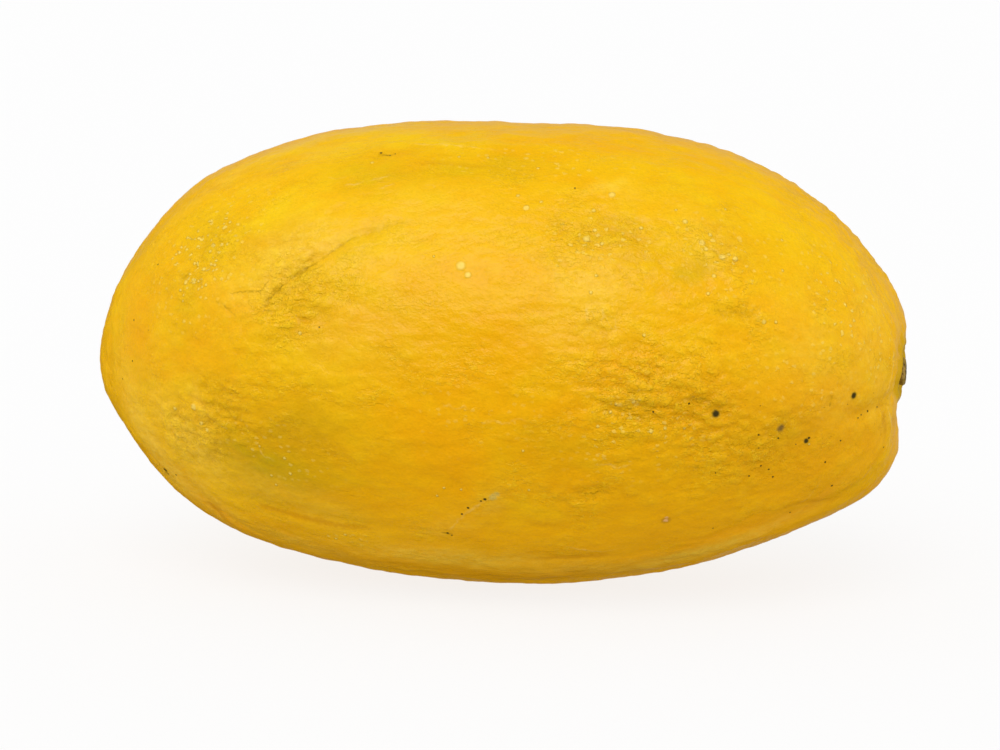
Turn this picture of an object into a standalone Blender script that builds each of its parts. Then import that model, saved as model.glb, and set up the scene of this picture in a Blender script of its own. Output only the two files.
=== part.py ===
"""Giant granadilla: one whole ripe fruit lying on its side, with the stub of its stalk.

The fruit's long axis runs along X with the stem end at +X. Z is up, and the fruit rests on Z = 0 on a
small flat spot under its belly. The origin is on that surface, under the middle of the fruit's box.
All the sizes below are millimetres, and the meshes are written in metres.
"""

import bmesh
import bpy
import numpy as np

MILLIMETRE = 0.001

# The body: a side outline of four superellipse quarters, turned into rings round a middle line
LEFT_END = -124.6
RIGHT_END = 125.4
CREST_X = -11.3
CREST_HEIGHT = 142.7
BELLY_X = 2.7
BELLY_HEIGHT = -1.0
LEFT_END_HEIGHT = 69.4
RIGHT_END_HEIGHT = 59.6
FULLNESS = {"upper left": 2.21, "upper right": 2.66, "lower left": 2.31, "lower right": 1.98}
CORE_HALF_LENGTH = 58.0
FRONT = -1.0
BACK = 1.0

# Broad swellings (+) and hollows (-): centre, spread along X, Y and Z, and height
SWELLINGS = {
    "lower lobe at the stem end": ((111.6, 8.0, 38.3), (16.0, 26.0, 12.5), 5.0),
    "notch beside the stem": ((121.6, 12.0, 55.0), (12.0, 14.0, 4.6), -3.0),
    "near rim of the stem hollow": ((121.0, -14.0, 71.0), (9.0, 5.0, 13.0), 0.9),
    "brow over the stem": ((123.5, 10.0, 83.0), (12.0, 16.0, 9.5), 2.7),
    "hollow behind the brow": ((98.1, 4.0, 109.7), (9.0, 20.0, 9.0), -1.0),
    "right shoulder": ((66.1, 0.0, 128.9), (14.0, 30.0, 14.0), 1.0),
    "top shoulder": ((33.4, 0.0, 140.7), (12.0, 30.0, 14.0), 0.8),
    "upper left swelling": ((-97.0, 0.0, 116.3), (12.0, 26.0, 10.0), 0.7),
    "upper left hollow": ((-108.6, 0.0, 107.5), (10.0, 26.0, 10.0), -1.1),
    "blunt blossom end": ((-124.3, 0.0, 63.5), (12.0, 26.0, 12.0), 3.0),
    "flattened lower left": ((-109.9, 0.0, 33.3), (14.0, 30.0, 14.0), -0.9),
    "lower left belly": ((-81.1, 0.0, 13.9), (14.0, 30.0, 12.0), 1.2),
    "front lobe": ((40.0, -64.0, 96.0), (46.0, 30.0, 16.0), 0.7),
    "rough patch": ((58.0, -66.0, 70.0), (12.0, 20.0, 9.0), 0.7),
    "back lobe": ((-20.0, 66.0, 88.0), (50.0, 30.0, 18.0), 0.9),
    "back hollow": ((44.0, 62.0, 52.0), (34.0, 30.0, 12.0), -0.9),
    "back stem lobe": ((104.0, 30.0, 78.0), (14.0, 14.0, 12.0), 1.4),
}

# Furrows (-) and ridges (+) in the skin: side, path through (x, height) points, half width, depth
FURROWS = {
    "long crease": (FRONT, [(-55, 94), (-49, 101), (-42, 106), (-36, 110), (-28, 114), (-20, 117)],
                    2.6, -0.9),
    "crease branch": (FRONT, [(-69, 95), (-60, 96), (-55, 100)], 2.4, -0.6),
    "top ridge": (FRONT, [(-24, 138), (-5, 138), (16, 137)], 3.2, 0.6),
    "top furrow": (FRONT, [(-24, 131), (2, 132), (28, 131)], 4.5, -0.9),
    "lower left groove": (FRONT, [(-68, 31), (-54, 29), (-35, 26), (-16, 26)], 3.2, -1.0),
    "limb groove": (FRONT, [(-88, 32), (-80, 24), (-70, 18)], 3.2, -0.9),
    "belly groove": (FRONT, [(8, 14), (24, 16), (41, 18), (60, 20)], 3.0, -0.8),
    "lobe furrow": (FRONT, [(126, 66), (120, 62.5), (113, 60)], 3.2, -1.7),
    "low band": (FRONT, [(80, 26), (96, 30), (110, 36), (120, 44)], 5.5, -1.3),
    "back crease": (BACK, [(-74, 84), (-50, 92), (-24, 95), (4, 92)], 3.0, -0.9),
    "back groove": (BACK, [(10, 36), (38, 32), (70, 34)], 4.0, -1.1),
    "back stem furrow": (BACK, [(126, 74), (117, 84), (106, 92)], 4.0, -1.8),
    "back low groove": (BACK, [(-90, 44), (-66, 34), (-36, 30)], 3.6, -0.9),
}

# The hollow round the stem, with a flat seat that the stub stands on, a collar of skin that swells
# round it, and puckers outside the collar
STEM_Y = 0.0
STEM_HEIGHT = 69.5
SEAT_X = 122.4
SEAT_RADIUS = 5.9
LIP_RADIUS = 8.4
COLLAR_RADIUS = 7.8
COLLAR_WIDTH = 1.5
COLLAR_HEIGHT = 0.9
PUCKER_TURNS = (0.03, 0.36, 0.52, 0.69, 0.86)
PUCKER_DEPTH = 0.9
PUCKER_RADIUS = 11.0
PUCKER_REACH = 3.0
PUCKER_SHARPNESS = 9.0

# The scar of the flower at the other end
SCAR_DEPTH = 1.2
SCAR_RADIUS = 6.0

# The stub of the stalk: rings along its bent axis, given as (share of length, radius)
STUB_LENGTH = 4.5
STUB_GAP = 0.3
STUB_PROFILE = [(0.0, 0.0), (0.0, 4.4), (0.12, 4.9), (0.3, 4.4), (0.55, 4.1), (0.8, 4.3), (0.95, 3.7),
                (1.0, 2.2), (0.97, 0.0)]
STUB_BEND_Y = -1.4
STUB_BEND_Z = -0.3
STUB_LOBES = 7
STUB_LOBE_DEPTH = 0.06

# Mesh density
FRUIT_SEGMENTS = 88
FRUIT_RINGS = 62
END_CROWDING = 0.42
STUB_SEGMENTS = 20
STUB_RINGS = 14

# Finishes: base colour (linear), roughness and metallic value
RIPE_SKIN = ("ripe_skin", (0.80, 0.42, 0.012, 1.0), 0.42, 0.0)
DRY_STALK = ("dry_stalk", (0.10, 0.065, 0.018, 1.0), 0.80, 0.0)


def clear_scene():
    """Remove everything that the open file holds."""
    for thing in list(bpy.data.objects):
        bpy.data.objects.remove(thing, do_unlink=True)


def new_material(name, colour, roughness, metallic):
    """Make a plain finish with a Principled BSDF."""
    material = bpy.data.materials.new(name)
    material.use_nodes = True
    shader = material.node_tree.nodes["Principled BSDF"]
    shader.inputs["Base Color"].default_value = colour
    shader.inputs["Roughness"].default_value = roughness
    shader.inputs["Metallic"].default_value = metallic
    return material


def smooth_step(value, low, high):
    """Rise smoothly from 0 at low to 1 at high."""
    share = np.clip((value - low) / (high - low), 0.0, 1.0)
    return share * share * (3.0 - 2.0 * share)


def quarter_arc(x, crest_x, crest_height, end_x, end_height, fullness):
    """Height of a superellipse quarter that leaves its crest level and meets the end upright."""
    share = np.clip((x - crest_x) / (end_x - crest_x), 0.0, 1.0)
    return end_height + (crest_height - end_height) * (1.0 - share ** fullness) ** (1.0 / fullness)


def side_outline(x):
    """Heights of the fruit's upper and lower outline at x."""
    upper = np.where(
        x < CREST_X,
        quarter_arc(x, CREST_X, CREST_HEIGHT, LEFT_END, LEFT_END_HEIGHT, FULLNESS["upper left"]),
        quarter_arc(x, CREST_X, CREST_HEIGHT, RIGHT_END, RIGHT_END_HEIGHT, FULLNESS["upper right"]))
    lower = np.where(
        x < BELLY_X,
        quarter_arc(x, BELLY_X, BELLY_HEIGHT, LEFT_END, LEFT_END_HEIGHT, FULLNESS["lower left"]),
        quarter_arc(x, BELLY_X, BELLY_HEIGHT, RIGHT_END, RIGHT_END_HEIGHT, FULLNESS["lower right"]))
    return upper, lower


def plain_body(polar, turn):
    """Points of the body before its local forms, and the height of its middle line there.

    polar runs from 0 at the stem end to pi at the blossom end, and turn is the angle round X from +Y.
    """
    crowded = polar - END_CROWDING * np.sin(2.0 * polar) / 2.0
    middle_x = (LEFT_END + RIGHT_END) / 2.0
    x = middle_x + (RIGHT_END - LEFT_END) / 2.0 * np.cos(crowded)
    upper, lower = side_outline(x)
    middle = (upper + lower) / 2.0
    radius = (upper - lower) / 2.0
    points = np.stack([x, radius * np.cos(turn), middle + radius * np.sin(turn)], axis=-1)
    return points, middle


def on_flank(x, height, side):
    """The point of the plain body at x and height, on its front or its back."""
    upper, lower = side_outline(np.float64(x))
    middle = (upper + lower) / 2.0
    radius = (upper - lower) / 2.0
    reach = max(radius ** 2 - (height - middle) ** 2, 0.0)
    return np.array([x, side * np.sqrt(reach), height])


def distance_to_path(points, path):
    """Distance of each point to a path of straight runs, and how far along the path it is, 0 to 1."""
    lengths = [np.linalg.norm(end - start) for start, end in zip(path, path[1:])]
    nearest = np.full(len(points), np.inf)
    along = np.zeros(len(points))
    passed = 0.0
    for start, end, length in zip(path, path[1:], lengths):
        run = end - start
        share = np.clip((points - start) @ run / length ** 2, 0.0, 1.0)
        distance = np.linalg.norm(points - start - share[:, None] * run, axis=1)
        closer = distance < nearest
        nearest = np.where(closer, distance, nearest)
        along = np.where(closer, (passed + share * length) / sum(lengths), along)
        passed += length
    return nearest, along


def local_relief(points):
    """Height of the swellings, hollows, ridges and furrows over the plain body."""
    relief = np.zeros(len(points))
    for centre, spread, height in SWELLINGS.values():
        scaled = (points - np.array(centre)) / np.array(spread)
        relief += height * np.exp(-0.5 * (scaled ** 2).sum(axis=1))
    for side, places, half_width, depth in FURROWS.values():
        path = [on_flank(x, height, side) for x, height in places]
        distance, along = distance_to_path(points, path)
        fade = 0.35 + 0.65 * np.sin(np.pi * along)
        relief += depth * fade * np.exp(-(distance / half_width) ** 2)
    return relief


def sink_stem_hollow(points):
    """Draw the skin in round the stem to a flat seat, with a collar round it and puckers outside."""
    from_stem = points[:, 1:] - np.array([STEM_Y, STEM_HEIGHT])
    reach = np.hypot(from_stem[:, 0], from_stem[:, 1])
    turn = np.arctan2(from_stem[:, 1], from_stem[:, 0])
    at_stem_end = points[:, 0] > CORE_HALF_LENGTH
    pucker = np.zeros(len(points))
    for share in PUCKER_TURNS:
        pucker += np.exp(PUCKER_SHARPNESS * (np.cos(turn - 2.0 * np.pi * share) - 1.0))
    band = np.exp(-((reach - PUCKER_RADIUS) / PUCKER_REACH) ** 2)
    puckered = points[:, 0] - PUCKER_DEPTH * pucker * band
    lift = smooth_step(reach, SEAT_RADIUS, LIP_RADIUS)
    hollowed = SEAT_X + (puckered - SEAT_X) * lift
    hollowed = hollowed + COLLAR_HEIGHT * np.exp(-((reach - COLLAR_RADIUS) / COLLAR_WIDTH) ** 2)
    points[:, 0] = np.where(at_stem_end, hollowed, points[:, 0])


def press_flower_scar(points):
    """Dimple the blossom end where the flower was."""
    from_axis = np.hypot(points[:, 1], points[:, 2] - LEFT_END_HEIGHT)
    dimple = SCAR_DEPTH * np.exp(-(from_axis / SCAR_RADIUS) ** 2)
    points[:, 0] += np.where(points[:, 0] < -CORE_HALF_LENGTH, dimple, 0.0)


def shape_fruit(polar, turn):
    """All the fruit's points: the plain body, its local forms, both ends and the flat spot."""
    points, middle = plain_body(polar, turn)
    core = np.stack([np.clip(points[:, 0], -CORE_HALF_LENGTH, CORE_HALF_LENGTH),
                     np.zeros(len(points)), middle], axis=-1)
    outward = points - core
    outward /= np.linalg.norm(outward, axis=1, keepdims=True)
    points = points + outward * local_relief(points)[:, None]
    sink_stem_hollow(points)
    press_flower_scar(points)
    points[:, 2] = np.maximum(points[:, 2], 0.0)
    return points


def make_fruit():
    """The fruit: a sphere with its poles on X, every vertex moved by the body's formulas."""
    mesh = bpy.data.meshes.new("fruit")
    ball = bmesh.new()
    bmesh.ops.create_uvsphere(ball, u_segments=FRUIT_SEGMENTS, v_segments=FRUIT_RINGS, radius=1.0)
    ball.to_mesh(mesh)
    ball.free()
    unit = np.array([vertex.co[:] for vertex in mesh.vertices])
    polar = np.arccos(np.clip(unit[:, 2], -1.0, 1.0))
    turn = np.arctan2(unit[:, 1], unit[:, 0])
    points = shape_fruit(polar, turn)
    mesh.vertices.foreach_set("co", (points * MILLIMETRE).ravel())
    mesh.update()
    mesh.shade_smooth()
    mesh.materials.append(new_material(*RIPE_SKIN))
    return bpy.data.objects.new("fruit", mesh)


def make_stem_stub():
    """The stub: a sphere drawn out into a gnarled, bent peg that stands on the seat."""
    mesh = bpy.data.meshes.new("stem_stub")
    ball = bmesh.new()
    bmesh.ops.create_uvsphere(ball, u_segments=STUB_SEGMENTS, v_segments=STUB_RINGS, radius=1.0)
    ball.to_mesh(mesh)
    ball.free()
    unit = np.array([vertex.co[:] for vertex in mesh.vertices])
    ring = 1.0 - np.arccos(np.clip(unit[:, 2], -1.0, 1.0)) / np.pi
    turn = np.arctan2(unit[:, 1], unit[:, 0])
    stations = np.linspace(0.0, 1.0, len(STUB_PROFILE))
    along = np.interp(ring, stations, [share for share, radius in STUB_PROFILE])
    radius = np.interp(ring, stations, [radius for share, radius in STUB_PROFILE])
    radius = radius * (1.0 + STUB_LOBE_DEPTH * np.cos(STUB_LOBES * turn + 2.0 * along))
    x = SEAT_X + STUB_GAP + STUB_LENGTH * along
    y = STEM_Y + radius * np.cos(turn) + STUB_BEND_Y * along ** 2
    z = STEM_HEIGHT + radius * np.sin(turn) + STUB_BEND_Z * along ** 2
    points = np.stack([x, y, z], axis=-1)
    mesh.vertices.foreach_set("co", (points * MILLIMETRE).ravel())
    mesh.update()
    mesh.shade_smooth()
    mesh.materials.append(new_material(*DRY_STALK))
    return bpy.data.objects.new("stem_stub", mesh)


def main():
    """Build the fruit and its stub in one collection."""
    clear_scene()
    collection = bpy.data.collections.new("giant_granadilla")
    bpy.context.scene.collection.children.link(collection)
    for piece in (make_fruit(), make_stem_stub()):
        collection.objects.link(piece)


main()
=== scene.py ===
# %% [markdown]
# # A giant granadilla, ripe, lying on its side
#
# The fruit is one long oval rind, golden yellow where it is ripe and still a little green in places,
# with the woody stub of its stalk in a puckered hollow at one end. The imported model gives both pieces
# at their real size. This lesson dresses them: a fine skin is made from the same formulas as the packed
# one, small relief is raised on it, and the colour is built up from shader nodes.
#
# The frame comes first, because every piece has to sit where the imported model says.

# %% Load the frame and keep its box
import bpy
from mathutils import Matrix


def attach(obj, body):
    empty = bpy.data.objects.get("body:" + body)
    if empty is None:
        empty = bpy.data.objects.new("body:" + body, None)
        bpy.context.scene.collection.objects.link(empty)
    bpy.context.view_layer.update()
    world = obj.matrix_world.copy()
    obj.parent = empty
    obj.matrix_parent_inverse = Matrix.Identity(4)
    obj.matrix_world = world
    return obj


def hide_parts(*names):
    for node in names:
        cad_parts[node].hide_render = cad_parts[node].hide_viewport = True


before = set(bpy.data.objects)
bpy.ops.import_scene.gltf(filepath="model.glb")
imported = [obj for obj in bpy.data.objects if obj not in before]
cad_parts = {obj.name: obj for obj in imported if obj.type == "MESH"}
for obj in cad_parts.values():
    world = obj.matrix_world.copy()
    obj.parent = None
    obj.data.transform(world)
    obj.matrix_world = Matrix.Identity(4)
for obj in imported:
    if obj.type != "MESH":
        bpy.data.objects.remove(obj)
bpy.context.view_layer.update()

# %% Modules and units
import math
import random

import bmesh
import bpy
import numpy as np
from mathutils import Vector, noise
from mathutils.bvhtree import BVHTree

MM = 0.001
scene = bpy.context.scene
print("nodes in the frame:", sorted(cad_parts))

# %% [markdown]
# The camera comes next, because several marks on the skin are placed by where the photograph shows
# them. It is a long lens from the side, a little towards the stem end and a little above. A long lens
# keeps the ends of the fruit from looking swollen, which a short one close by would do.

# %% Camera
IMAGE_WIDTH = 1000
IMAGE_HEIGHT = 750
SENSOR_MM = 36.0
LENS_MM = 100.0
CAMERA_AZIMUTH = 12.0
CAMERA_ELEVATION = 10.0
CAMERA_DISTANCE = 870.3
AIM = Vector((1.05, -0.9, 63.6))


def way_to(azimuth, elevation):
    """Unit direction towards an azimuth, counted from the front, and an elevation, in degrees."""
    across, up = math.radians(azimuth), math.radians(elevation)
    return Vector((math.sin(across) * math.cos(up), -math.cos(across) * math.cos(up), math.sin(up)))


def add_object(name, data):
    """An object in the scene that carries a mesh, a lamp or a lens."""
    thing = bpy.data.objects.new(name, data)
    scene.collection.objects.link(thing)
    return thing


BACKWARD = way_to(CAMERA_AZIMUTH, CAMERA_ELEVATION)
RIGHT = Vector((math.cos(math.radians(CAMERA_AZIMUTH)), math.sin(math.radians(CAMERA_AZIMUTH)), 0.0))
UP = BACKWARD.cross(RIGHT)
EYE = AIM + BACKWARD * CAMERA_DISTANCE
PIXELS_PER_SLOPE = LENS_MM / SENSOR_MM * IMAGE_WIDTH

lens = bpy.data.cameras.new("camera")
lens.lens = LENS_MM
lens.sensor_width = SENSOR_MM
camera = add_object("camera", lens)
camera.location = EYE * MM
camera.rotation_euler = BACKWARD.to_track_quat("Z", "Y").to_euler()
scene.camera = camera
print("camera stands at", [round(value) for value in EYE], "mm")

# %% [markdown]
# Surround, floor, rind and stalk each get their look from a tree of nodes. Such a tree could be put
# together by hand in the node editor. The helpers here let it read like the sums that it stands for, and
# each helper finds the tree that it works in from the sockets that it is given.

# %% Helpers for node trees
def feed(target, source):
    """Link a socket to another, or give it a plain value."""
    if isinstance(source, bpy.types.NodeSocket):
        target.id_data.links.new(source, target)
    else:
        target.default_value = source


def add_node(tree, kind, inputs, **settings):
    """A node with its settings, and some of its inputs fed, by name or by number."""
    node = tree.nodes.new("ShaderNode" + kind)
    for name, value in settings.items():
        setattr(node, name, value)
    for name, source in inputs.items():
        feed(node.inputs[name], source)
    return node


def tree_of(values):
    """The tree that the sockets among some values belong to."""
    return next(value.id_data for value in values if isinstance(value, bpy.types.NodeSocket))


def compute(operation, *values, clamp=False):
    """One Math node; the values are sockets or numbers, at least one of them a socket."""
    inputs = dict(enumerate(values))
    return add_node(tree_of(values), "Math", inputs, operation=operation, use_clamp=clamp).outputs[0]


def compute_vector(operation, *values, output="Vector"):
    """One Vector Math node; two of its operations give their output as Value."""
    inputs = dict(enumerate(values))
    return add_node(tree_of(values), "VectorMath", inputs, operation=operation).outputs[output]


def soft_range(value, low, high):
    """0 at low rising smoothly to 1 at high; low may be the larger."""
    inputs = {"Value": value, "From Min": low, "From Max": high}
    return add_node(value.id_data, "MapRange", inputs, interpolation_type="SMOOTHSTEP").outputs["Result"]


def blend(share, first, second):
    """Mix two colours, which are sockets or values."""
    return add_node(share.id_data, "Mix", {0: share, 6: first, 7: second}, data_type="RGBA").outputs[2]


def new_finish(name, values):
    """A material, and its shader with some plain values set."""
    finish = bpy.data.materials.new(name)
    finish.use_nodes = True
    shader = finish.node_tree.nodes["Principled BSDF"]
    for label, value in values.items():
        shader.inputs[label].default_value = value
    return finish, shader


WHITE = (1.0, 1.0, 1.0, 1.0)
print("helpers ready")

# %% [markdown]
# The fruit lies on a plain pale floor. One soft key light from high on the left front makes the fall of
# light over the belly and the pale sheen across its shoulder. A pale surround fills the shadows, a little
# brighter above than below and to both sides, as in a room with a pale ceiling and pale side walls. The
# rind mirrors only the lamps, so its yellow stays clean where no lamp is mirrored. A broad lamp behind
# the fruit gives a haze on its rims, and the sheen has a lamp of its own, so that it can be set without
# making the fruit any lighter. A single hard lamp would have been simpler, but it would draw a sharp
# highlight and black shadows.

# %% Floor
FLOOR_RADIUS = 9.0
FLOOR_SIDES = 96
FLOOR_TINT = (0.16, 0.16, 0.16, 1.0)
FLOOR_GLOW = 0.82

floor_mesh = bpy.data.meshes.new("floor")
disc = bmesh.new()
bmesh.ops.create_circle(disc, cap_ends=True, segments=FLOOR_SIDES, radius=FLOOR_RADIUS)
disc.to_mesh(floor_mesh)
disc.free()
floor = add_object("floor", floor_mesh)
floor.visible_diffuse = False
floor.visible_glossy = False
floor_finish = new_finish("pale_floor", {
    "Base Color": FLOOR_TINT, "Roughness": 0.9, "Specular IOR Level": 0.0, "Emission Color": WHITE,
    "Emission Strength": FLOOR_GLOW})
floor_mesh.materials.append(floor_finish[0])
print("floor reaches", FLOOR_RADIUS, "m out")

# %% Lamps
# Strength, spread of the disc, azimuth from the front and elevation in degrees
KEY_LAMP = (0.91, 46.0, 0.0, 50.0)
RIM_LAMP = (0.38, 64.0, 180.0, 4.0)
SHEEN_LAMP = (3.4, 50.0, -8.0, 48.0)


def add_lamp(name, strength, spread, azimuth, elevation):
    """A far lamp that shows as a bright disc of the given spread."""
    sun = bpy.data.lights.new(name, "SUN")
    sun.energy = strength
    sun.angle = math.radians(spread)
    lamp = add_object(name, sun)
    lamp.rotation_euler = way_to(azimuth, elevation).to_track_quat("Z", "Y").to_euler()
    print(name, "stands", elevation, "degrees up")
    return lamp


add_lamp("key_lamp", *KEY_LAMP).visible_glossy = False
add_lamp("rim_lamp", *RIM_LAMP)
add_lamp("sheen_lamp", *SHEEN_LAMP).visible_diffuse = False

# %% Surround
# Brightness from straight down at 0 to overhead at 1
FILL_LEVELS = ((0.20, 0.53), (0.40, 0.61), (0.55, 0.70), (0.85, 0.64))
SIDE_GAIN = 0.9
LEFT_GAIN = 0.05

surround = bpy.data.worlds.new("surround")
scene.world = surround
surround.use_nodes = True
surround.cycles_visibility.glossy = False
sky = surround.node_tree
sky.nodes.clear()
sky_direction = add_node(sky, "TexCoord", {}).outputs["Generated"]
sky_axes = add_node(sky, "SeparateXYZ", {0: sky_direction}).outputs
up_share = add_node(sky, "MapRange", {"Value": sky_axes["Z"], "From Min": -1.0}).outputs["Result"]
fill = add_node(sky, "ValToRGB", {0: up_share})
levels = fill.color_ramp.elements
levels.remove(levels[0])
for height_share, brightness in FILL_LEVELS:
    levels.new(height_share).color = (brightness,) * 3 + (1.0,)
levels.remove(levels[-1])
side_gain = compute("MULTIPLY_ADD", sky_axes["X"], SIDE_GAIN, -LEFT_GAIN)
sky_strength = compute("MULTIPLY_ADD", sky_axes["X"], side_gain, 1.0)
seen_by_camera = add_node(sky, "LightPath", {}).outputs["Is Camera Ray"]
sky_colour = blend(seen_by_camera, fill.outputs["Color"], WHITE)
sky_light = add_node(sky, "Background", {"Color": sky_colour, "Strength": sky_strength})
add_node(sky, "OutputWorld", {"Surface": sky_light.outputs[0]})

scene.view_settings.view_transform = "Standard"
scene.view_settings.look = "None"
print("surround:", len(sky.nodes), "nodes")

# %% [markdown]
# The rind's main form is a side outline of four superellipse quarters, turned into rings round a
# middle line. It could be sculpted by hand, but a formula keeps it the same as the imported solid, and
# lets any point of the skin be worked out again when marks are placed on it. Sizes are millimetres.

# %% The plain body
LEFT_END = -124.6
RIGHT_END = 125.4
CREST_X = -11.3
CREST_HEIGHT = 142.7
BELLY_X = 2.7
BELLY_HEIGHT = -1.0
LEFT_END_HEIGHT = 69.4
RIGHT_END_HEIGHT = 59.6
FULLNESS = {"upper": (2.21, 2.66), "lower": (2.31, 1.98)}
CORE_HALF_LENGTH = 58.0


def smooth_step(value, low, high):
    """Rise smoothly from 0 at low to 1 at high."""
    share = np.clip((value - low) / (high - low), 0.0, 1.0)
    return share * share * (3.0 - 2.0 * share)


def quarter_arc(x, crest_x, crest_height, end_x, end_height, fullness):
    """Height of a superellipse quarter that leaves its crest level and meets the end upright."""
    share = np.clip((x - crest_x) / (end_x - crest_x), 0.0, 1.0)
    return end_height + (crest_height - end_height) * (1.0 - share ** fullness) ** (1.0 / fullness)


def edge_height(x, edge, crest_x, crest_height):
    """Height of the upper or lower edge of the side outline at x."""
    left = quarter_arc(x, crest_x, crest_height, LEFT_END, LEFT_END_HEIGHT, FULLNESS[edge][0])
    right = quarter_arc(x, crest_x, crest_height, RIGHT_END, RIGHT_END_HEIGHT, FULLNESS[edge][1])
    return np.where(x < crest_x, left, right)


def middle_and_radius(x):
    """Height of the body's middle line at x, and the radius of its ring there."""
    upper = edge_height(x, "upper", CREST_X, CREST_HEIGHT)
    lower = edge_height(x, "lower", BELLY_X, BELLY_HEIGHT)
    return (upper + lower) / 2.0, (upper - lower) / 2.0


def plain_body(polar, turn):
    """Points of the body before its local forms; polar is 0 at the stem end, turn goes round X."""
    x = (LEFT_END + RIGHT_END) / 2.0 + (RIGHT_END - LEFT_END) / 2.0 * np.cos(polar)
    middle, radius = middle_and_radius(x)
    return np.stack([x, radius * np.cos(turn), middle + radius * np.sin(turn)], axis=-1)


print("the body is", round(RIGHT_END - LEFT_END), "mm long before its local forms")

# %% [markdown]
# Nothing that grows is a perfect form of revolution. The next values are the same swellings, hollows,
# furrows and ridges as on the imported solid: the lower lobe at the stem end and the notch over it, the
# long crease, the grooves low on the side, and a few more on the side that the photograph hides.

# %% Broad forms
# Each swelling or hollow: its centre and its spread in mm, and its height
SWELLINGS = {
    "lower lobe at the stem end": ((111.6, 8.0, 38.3), (16.0, 26.0, 12.5), 5.0),
    "notch beside the stem": ((121.6, 12.0, 55.0), (12.0, 14.0, 4.6), -3.0),
    "near rim of the stem hollow": ((121.0, -14.0, 71.0), (9.0, 5.0, 13.0), 0.9),
    "brow over the stem": ((123.5, 10.0, 83.0), (12.0, 16.0, 9.5), 2.7),
    "hollow behind the brow": ((98.1, 4.0, 109.7), (9.0, 20.0, 9.0), -1.0),
    "right shoulder": ((66.1, 0.0, 128.9), (14.0, 30.0, 14.0), 1.0),
    "top shoulder": ((33.4, 0.0, 140.7), (12.0, 30.0, 14.0), 0.8),
    "upper left swelling": ((-97.0, 0.0, 116.3), (12.0, 26.0, 10.0), 0.7),
    "upper left hollow": ((-108.6, 0.0, 107.5), (10.0, 26.0, 10.0), -1.1),
    "blunt blossom end": ((-124.3, 0.0, 63.5), (12.0, 26.0, 12.0), 3.0),
    "flattened lower left": ((-109.9, 0.0, 33.3), (14.0, 30.0, 14.0), -0.9),
    "lower left belly": ((-81.1, 0.0, 13.9), (14.0, 30.0, 12.0), 1.2),
    "front lobe": ((40.0, -64.0, 96.0), (46.0, 30.0, 16.0), 0.7),
    "rough patch": ((58.0, -66.0, 70.0), (12.0, 20.0, 9.0), 0.7),
    "back lobe": ((-20.0, 66.0, 88.0), (50.0, 30.0, 18.0), 0.9),
    "back hollow": ((44.0, 62.0, 52.0), (34.0, 30.0, 12.0), -0.9),
    "back stem lobe": ((104.0, 30.0, 78.0), (14.0, 14.0, 12.0), 1.4),
}
FRONT = -1.0
BACK = 1.0
FURROW_END = 0.35
# Each ridge or furrow: its side, the places that it passes as x and height, half width and depth in mm
FURROWS = {
    "long crease": (FRONT, [(-55, 94), (-49, 101), (-42, 106), (-36, 110), (-28, 114), (-20, 117)],
                    2.6, -0.9),
    "crease branch": (FRONT, [(-69, 95), (-60, 96), (-55, 100)], 2.4, -0.6),
    "top ridge": (FRONT, [(-24, 138), (-5, 138), (16, 137)], 3.2, 0.6),
    "top furrow": (FRONT, [(-24, 131), (2, 132), (28, 131)], 4.5, -0.9),
    "lower left groove": (FRONT, [(-68, 31), (-54, 29), (-35, 26), (-16, 26)], 3.2, -1.0),
    "limb groove": (FRONT, [(-88, 32), (-80, 24), (-70, 18)], 3.2, -0.9),
    "belly groove": (FRONT, [(8, 14), (24, 16), (41, 18), (60, 20)], 3.0, -0.8),
    "lobe furrow": (FRONT, [(126, 66), (120, 62.5), (113, 60)], 3.2, -1.7),
    "low band": (FRONT, [(80, 26), (96, 30), (110, 36), (120, 44)], 5.5, -1.3),
    "back crease": (BACK, [(-74, 84), (-50, 92), (-24, 95), (4, 92)], 3.0, -0.9),
    "back groove": (BACK, [(10, 36), (38, 32), (70, 34)], 4.0, -1.1),
    "back stem furrow": (BACK, [(126, 74), (117, 84), (106, 92)], 4.0, -1.8),
    "back low groove": (BACK, [(-90, 44), (-66, 34), (-36, 30)], 3.6, -0.9),
}


def on_flank(x, height, side):
    """The point of the plain body at x and height, on its front or its back."""
    middle, radius = middle_and_radius(np.float64(x))
    reach = max(radius ** 2 - (height - middle) ** 2, 0.0)
    return np.array([x, side * np.sqrt(reach), height])


def distance_to_path(points, path):
    """Distance of each point to a path of straight runs, and how far along the path it is, 0 to 1."""
    lengths = [np.linalg.norm(end - start) for start, end in zip(path, path[1:])]
    nearest = np.full(len(points), np.inf)
    along = np.zeros(len(points))
    passed = 0.0
    for start, end, length in zip(path, path[1:], lengths):
        run = end - start
        share = np.clip((points - start) @ run / length ** 2, 0.0, 1.0)
        distance = np.linalg.norm(points - start - share[:, None] * run, axis=1)
        closer = distance < nearest
        nearest = np.where(closer, distance, nearest)
        along = np.where(closer, (passed + share * length) / sum(lengths), along)
        passed += length
    return nearest, along


def broad_relief(points):
    """Height of the swellings, hollows, ridges and furrows over the plain body."""
    relief = np.zeros(len(points))
    for centre, spread, height in SWELLINGS.values():
        scaled = (points - np.array(centre)) / np.array(spread)
        relief += height * np.exp(-0.5 * (scaled ** 2).sum(axis=1))
    for side, places, half_width, depth in FURROWS.values():
        path = [on_flank(x, height, side) for x, height in places]
        distance, along = distance_to_path(points, path)
        fade = FURROW_END + (1.0 - FURROW_END) * np.sin(np.pi * along)
        relief += depth * fade * np.exp(-(distance / half_width) ** 2)
    return relief


print(len(SWELLINGS), "swellings and hollows,", len(FURROWS), "furrows and ridges")

# %% [markdown]
# At the stem end the skin is drawn in to a flat seat, puckered like the mouth of a bag, and the
# stalk's stub stands on the seat. At the other end the flower has left a small dimple.

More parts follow.
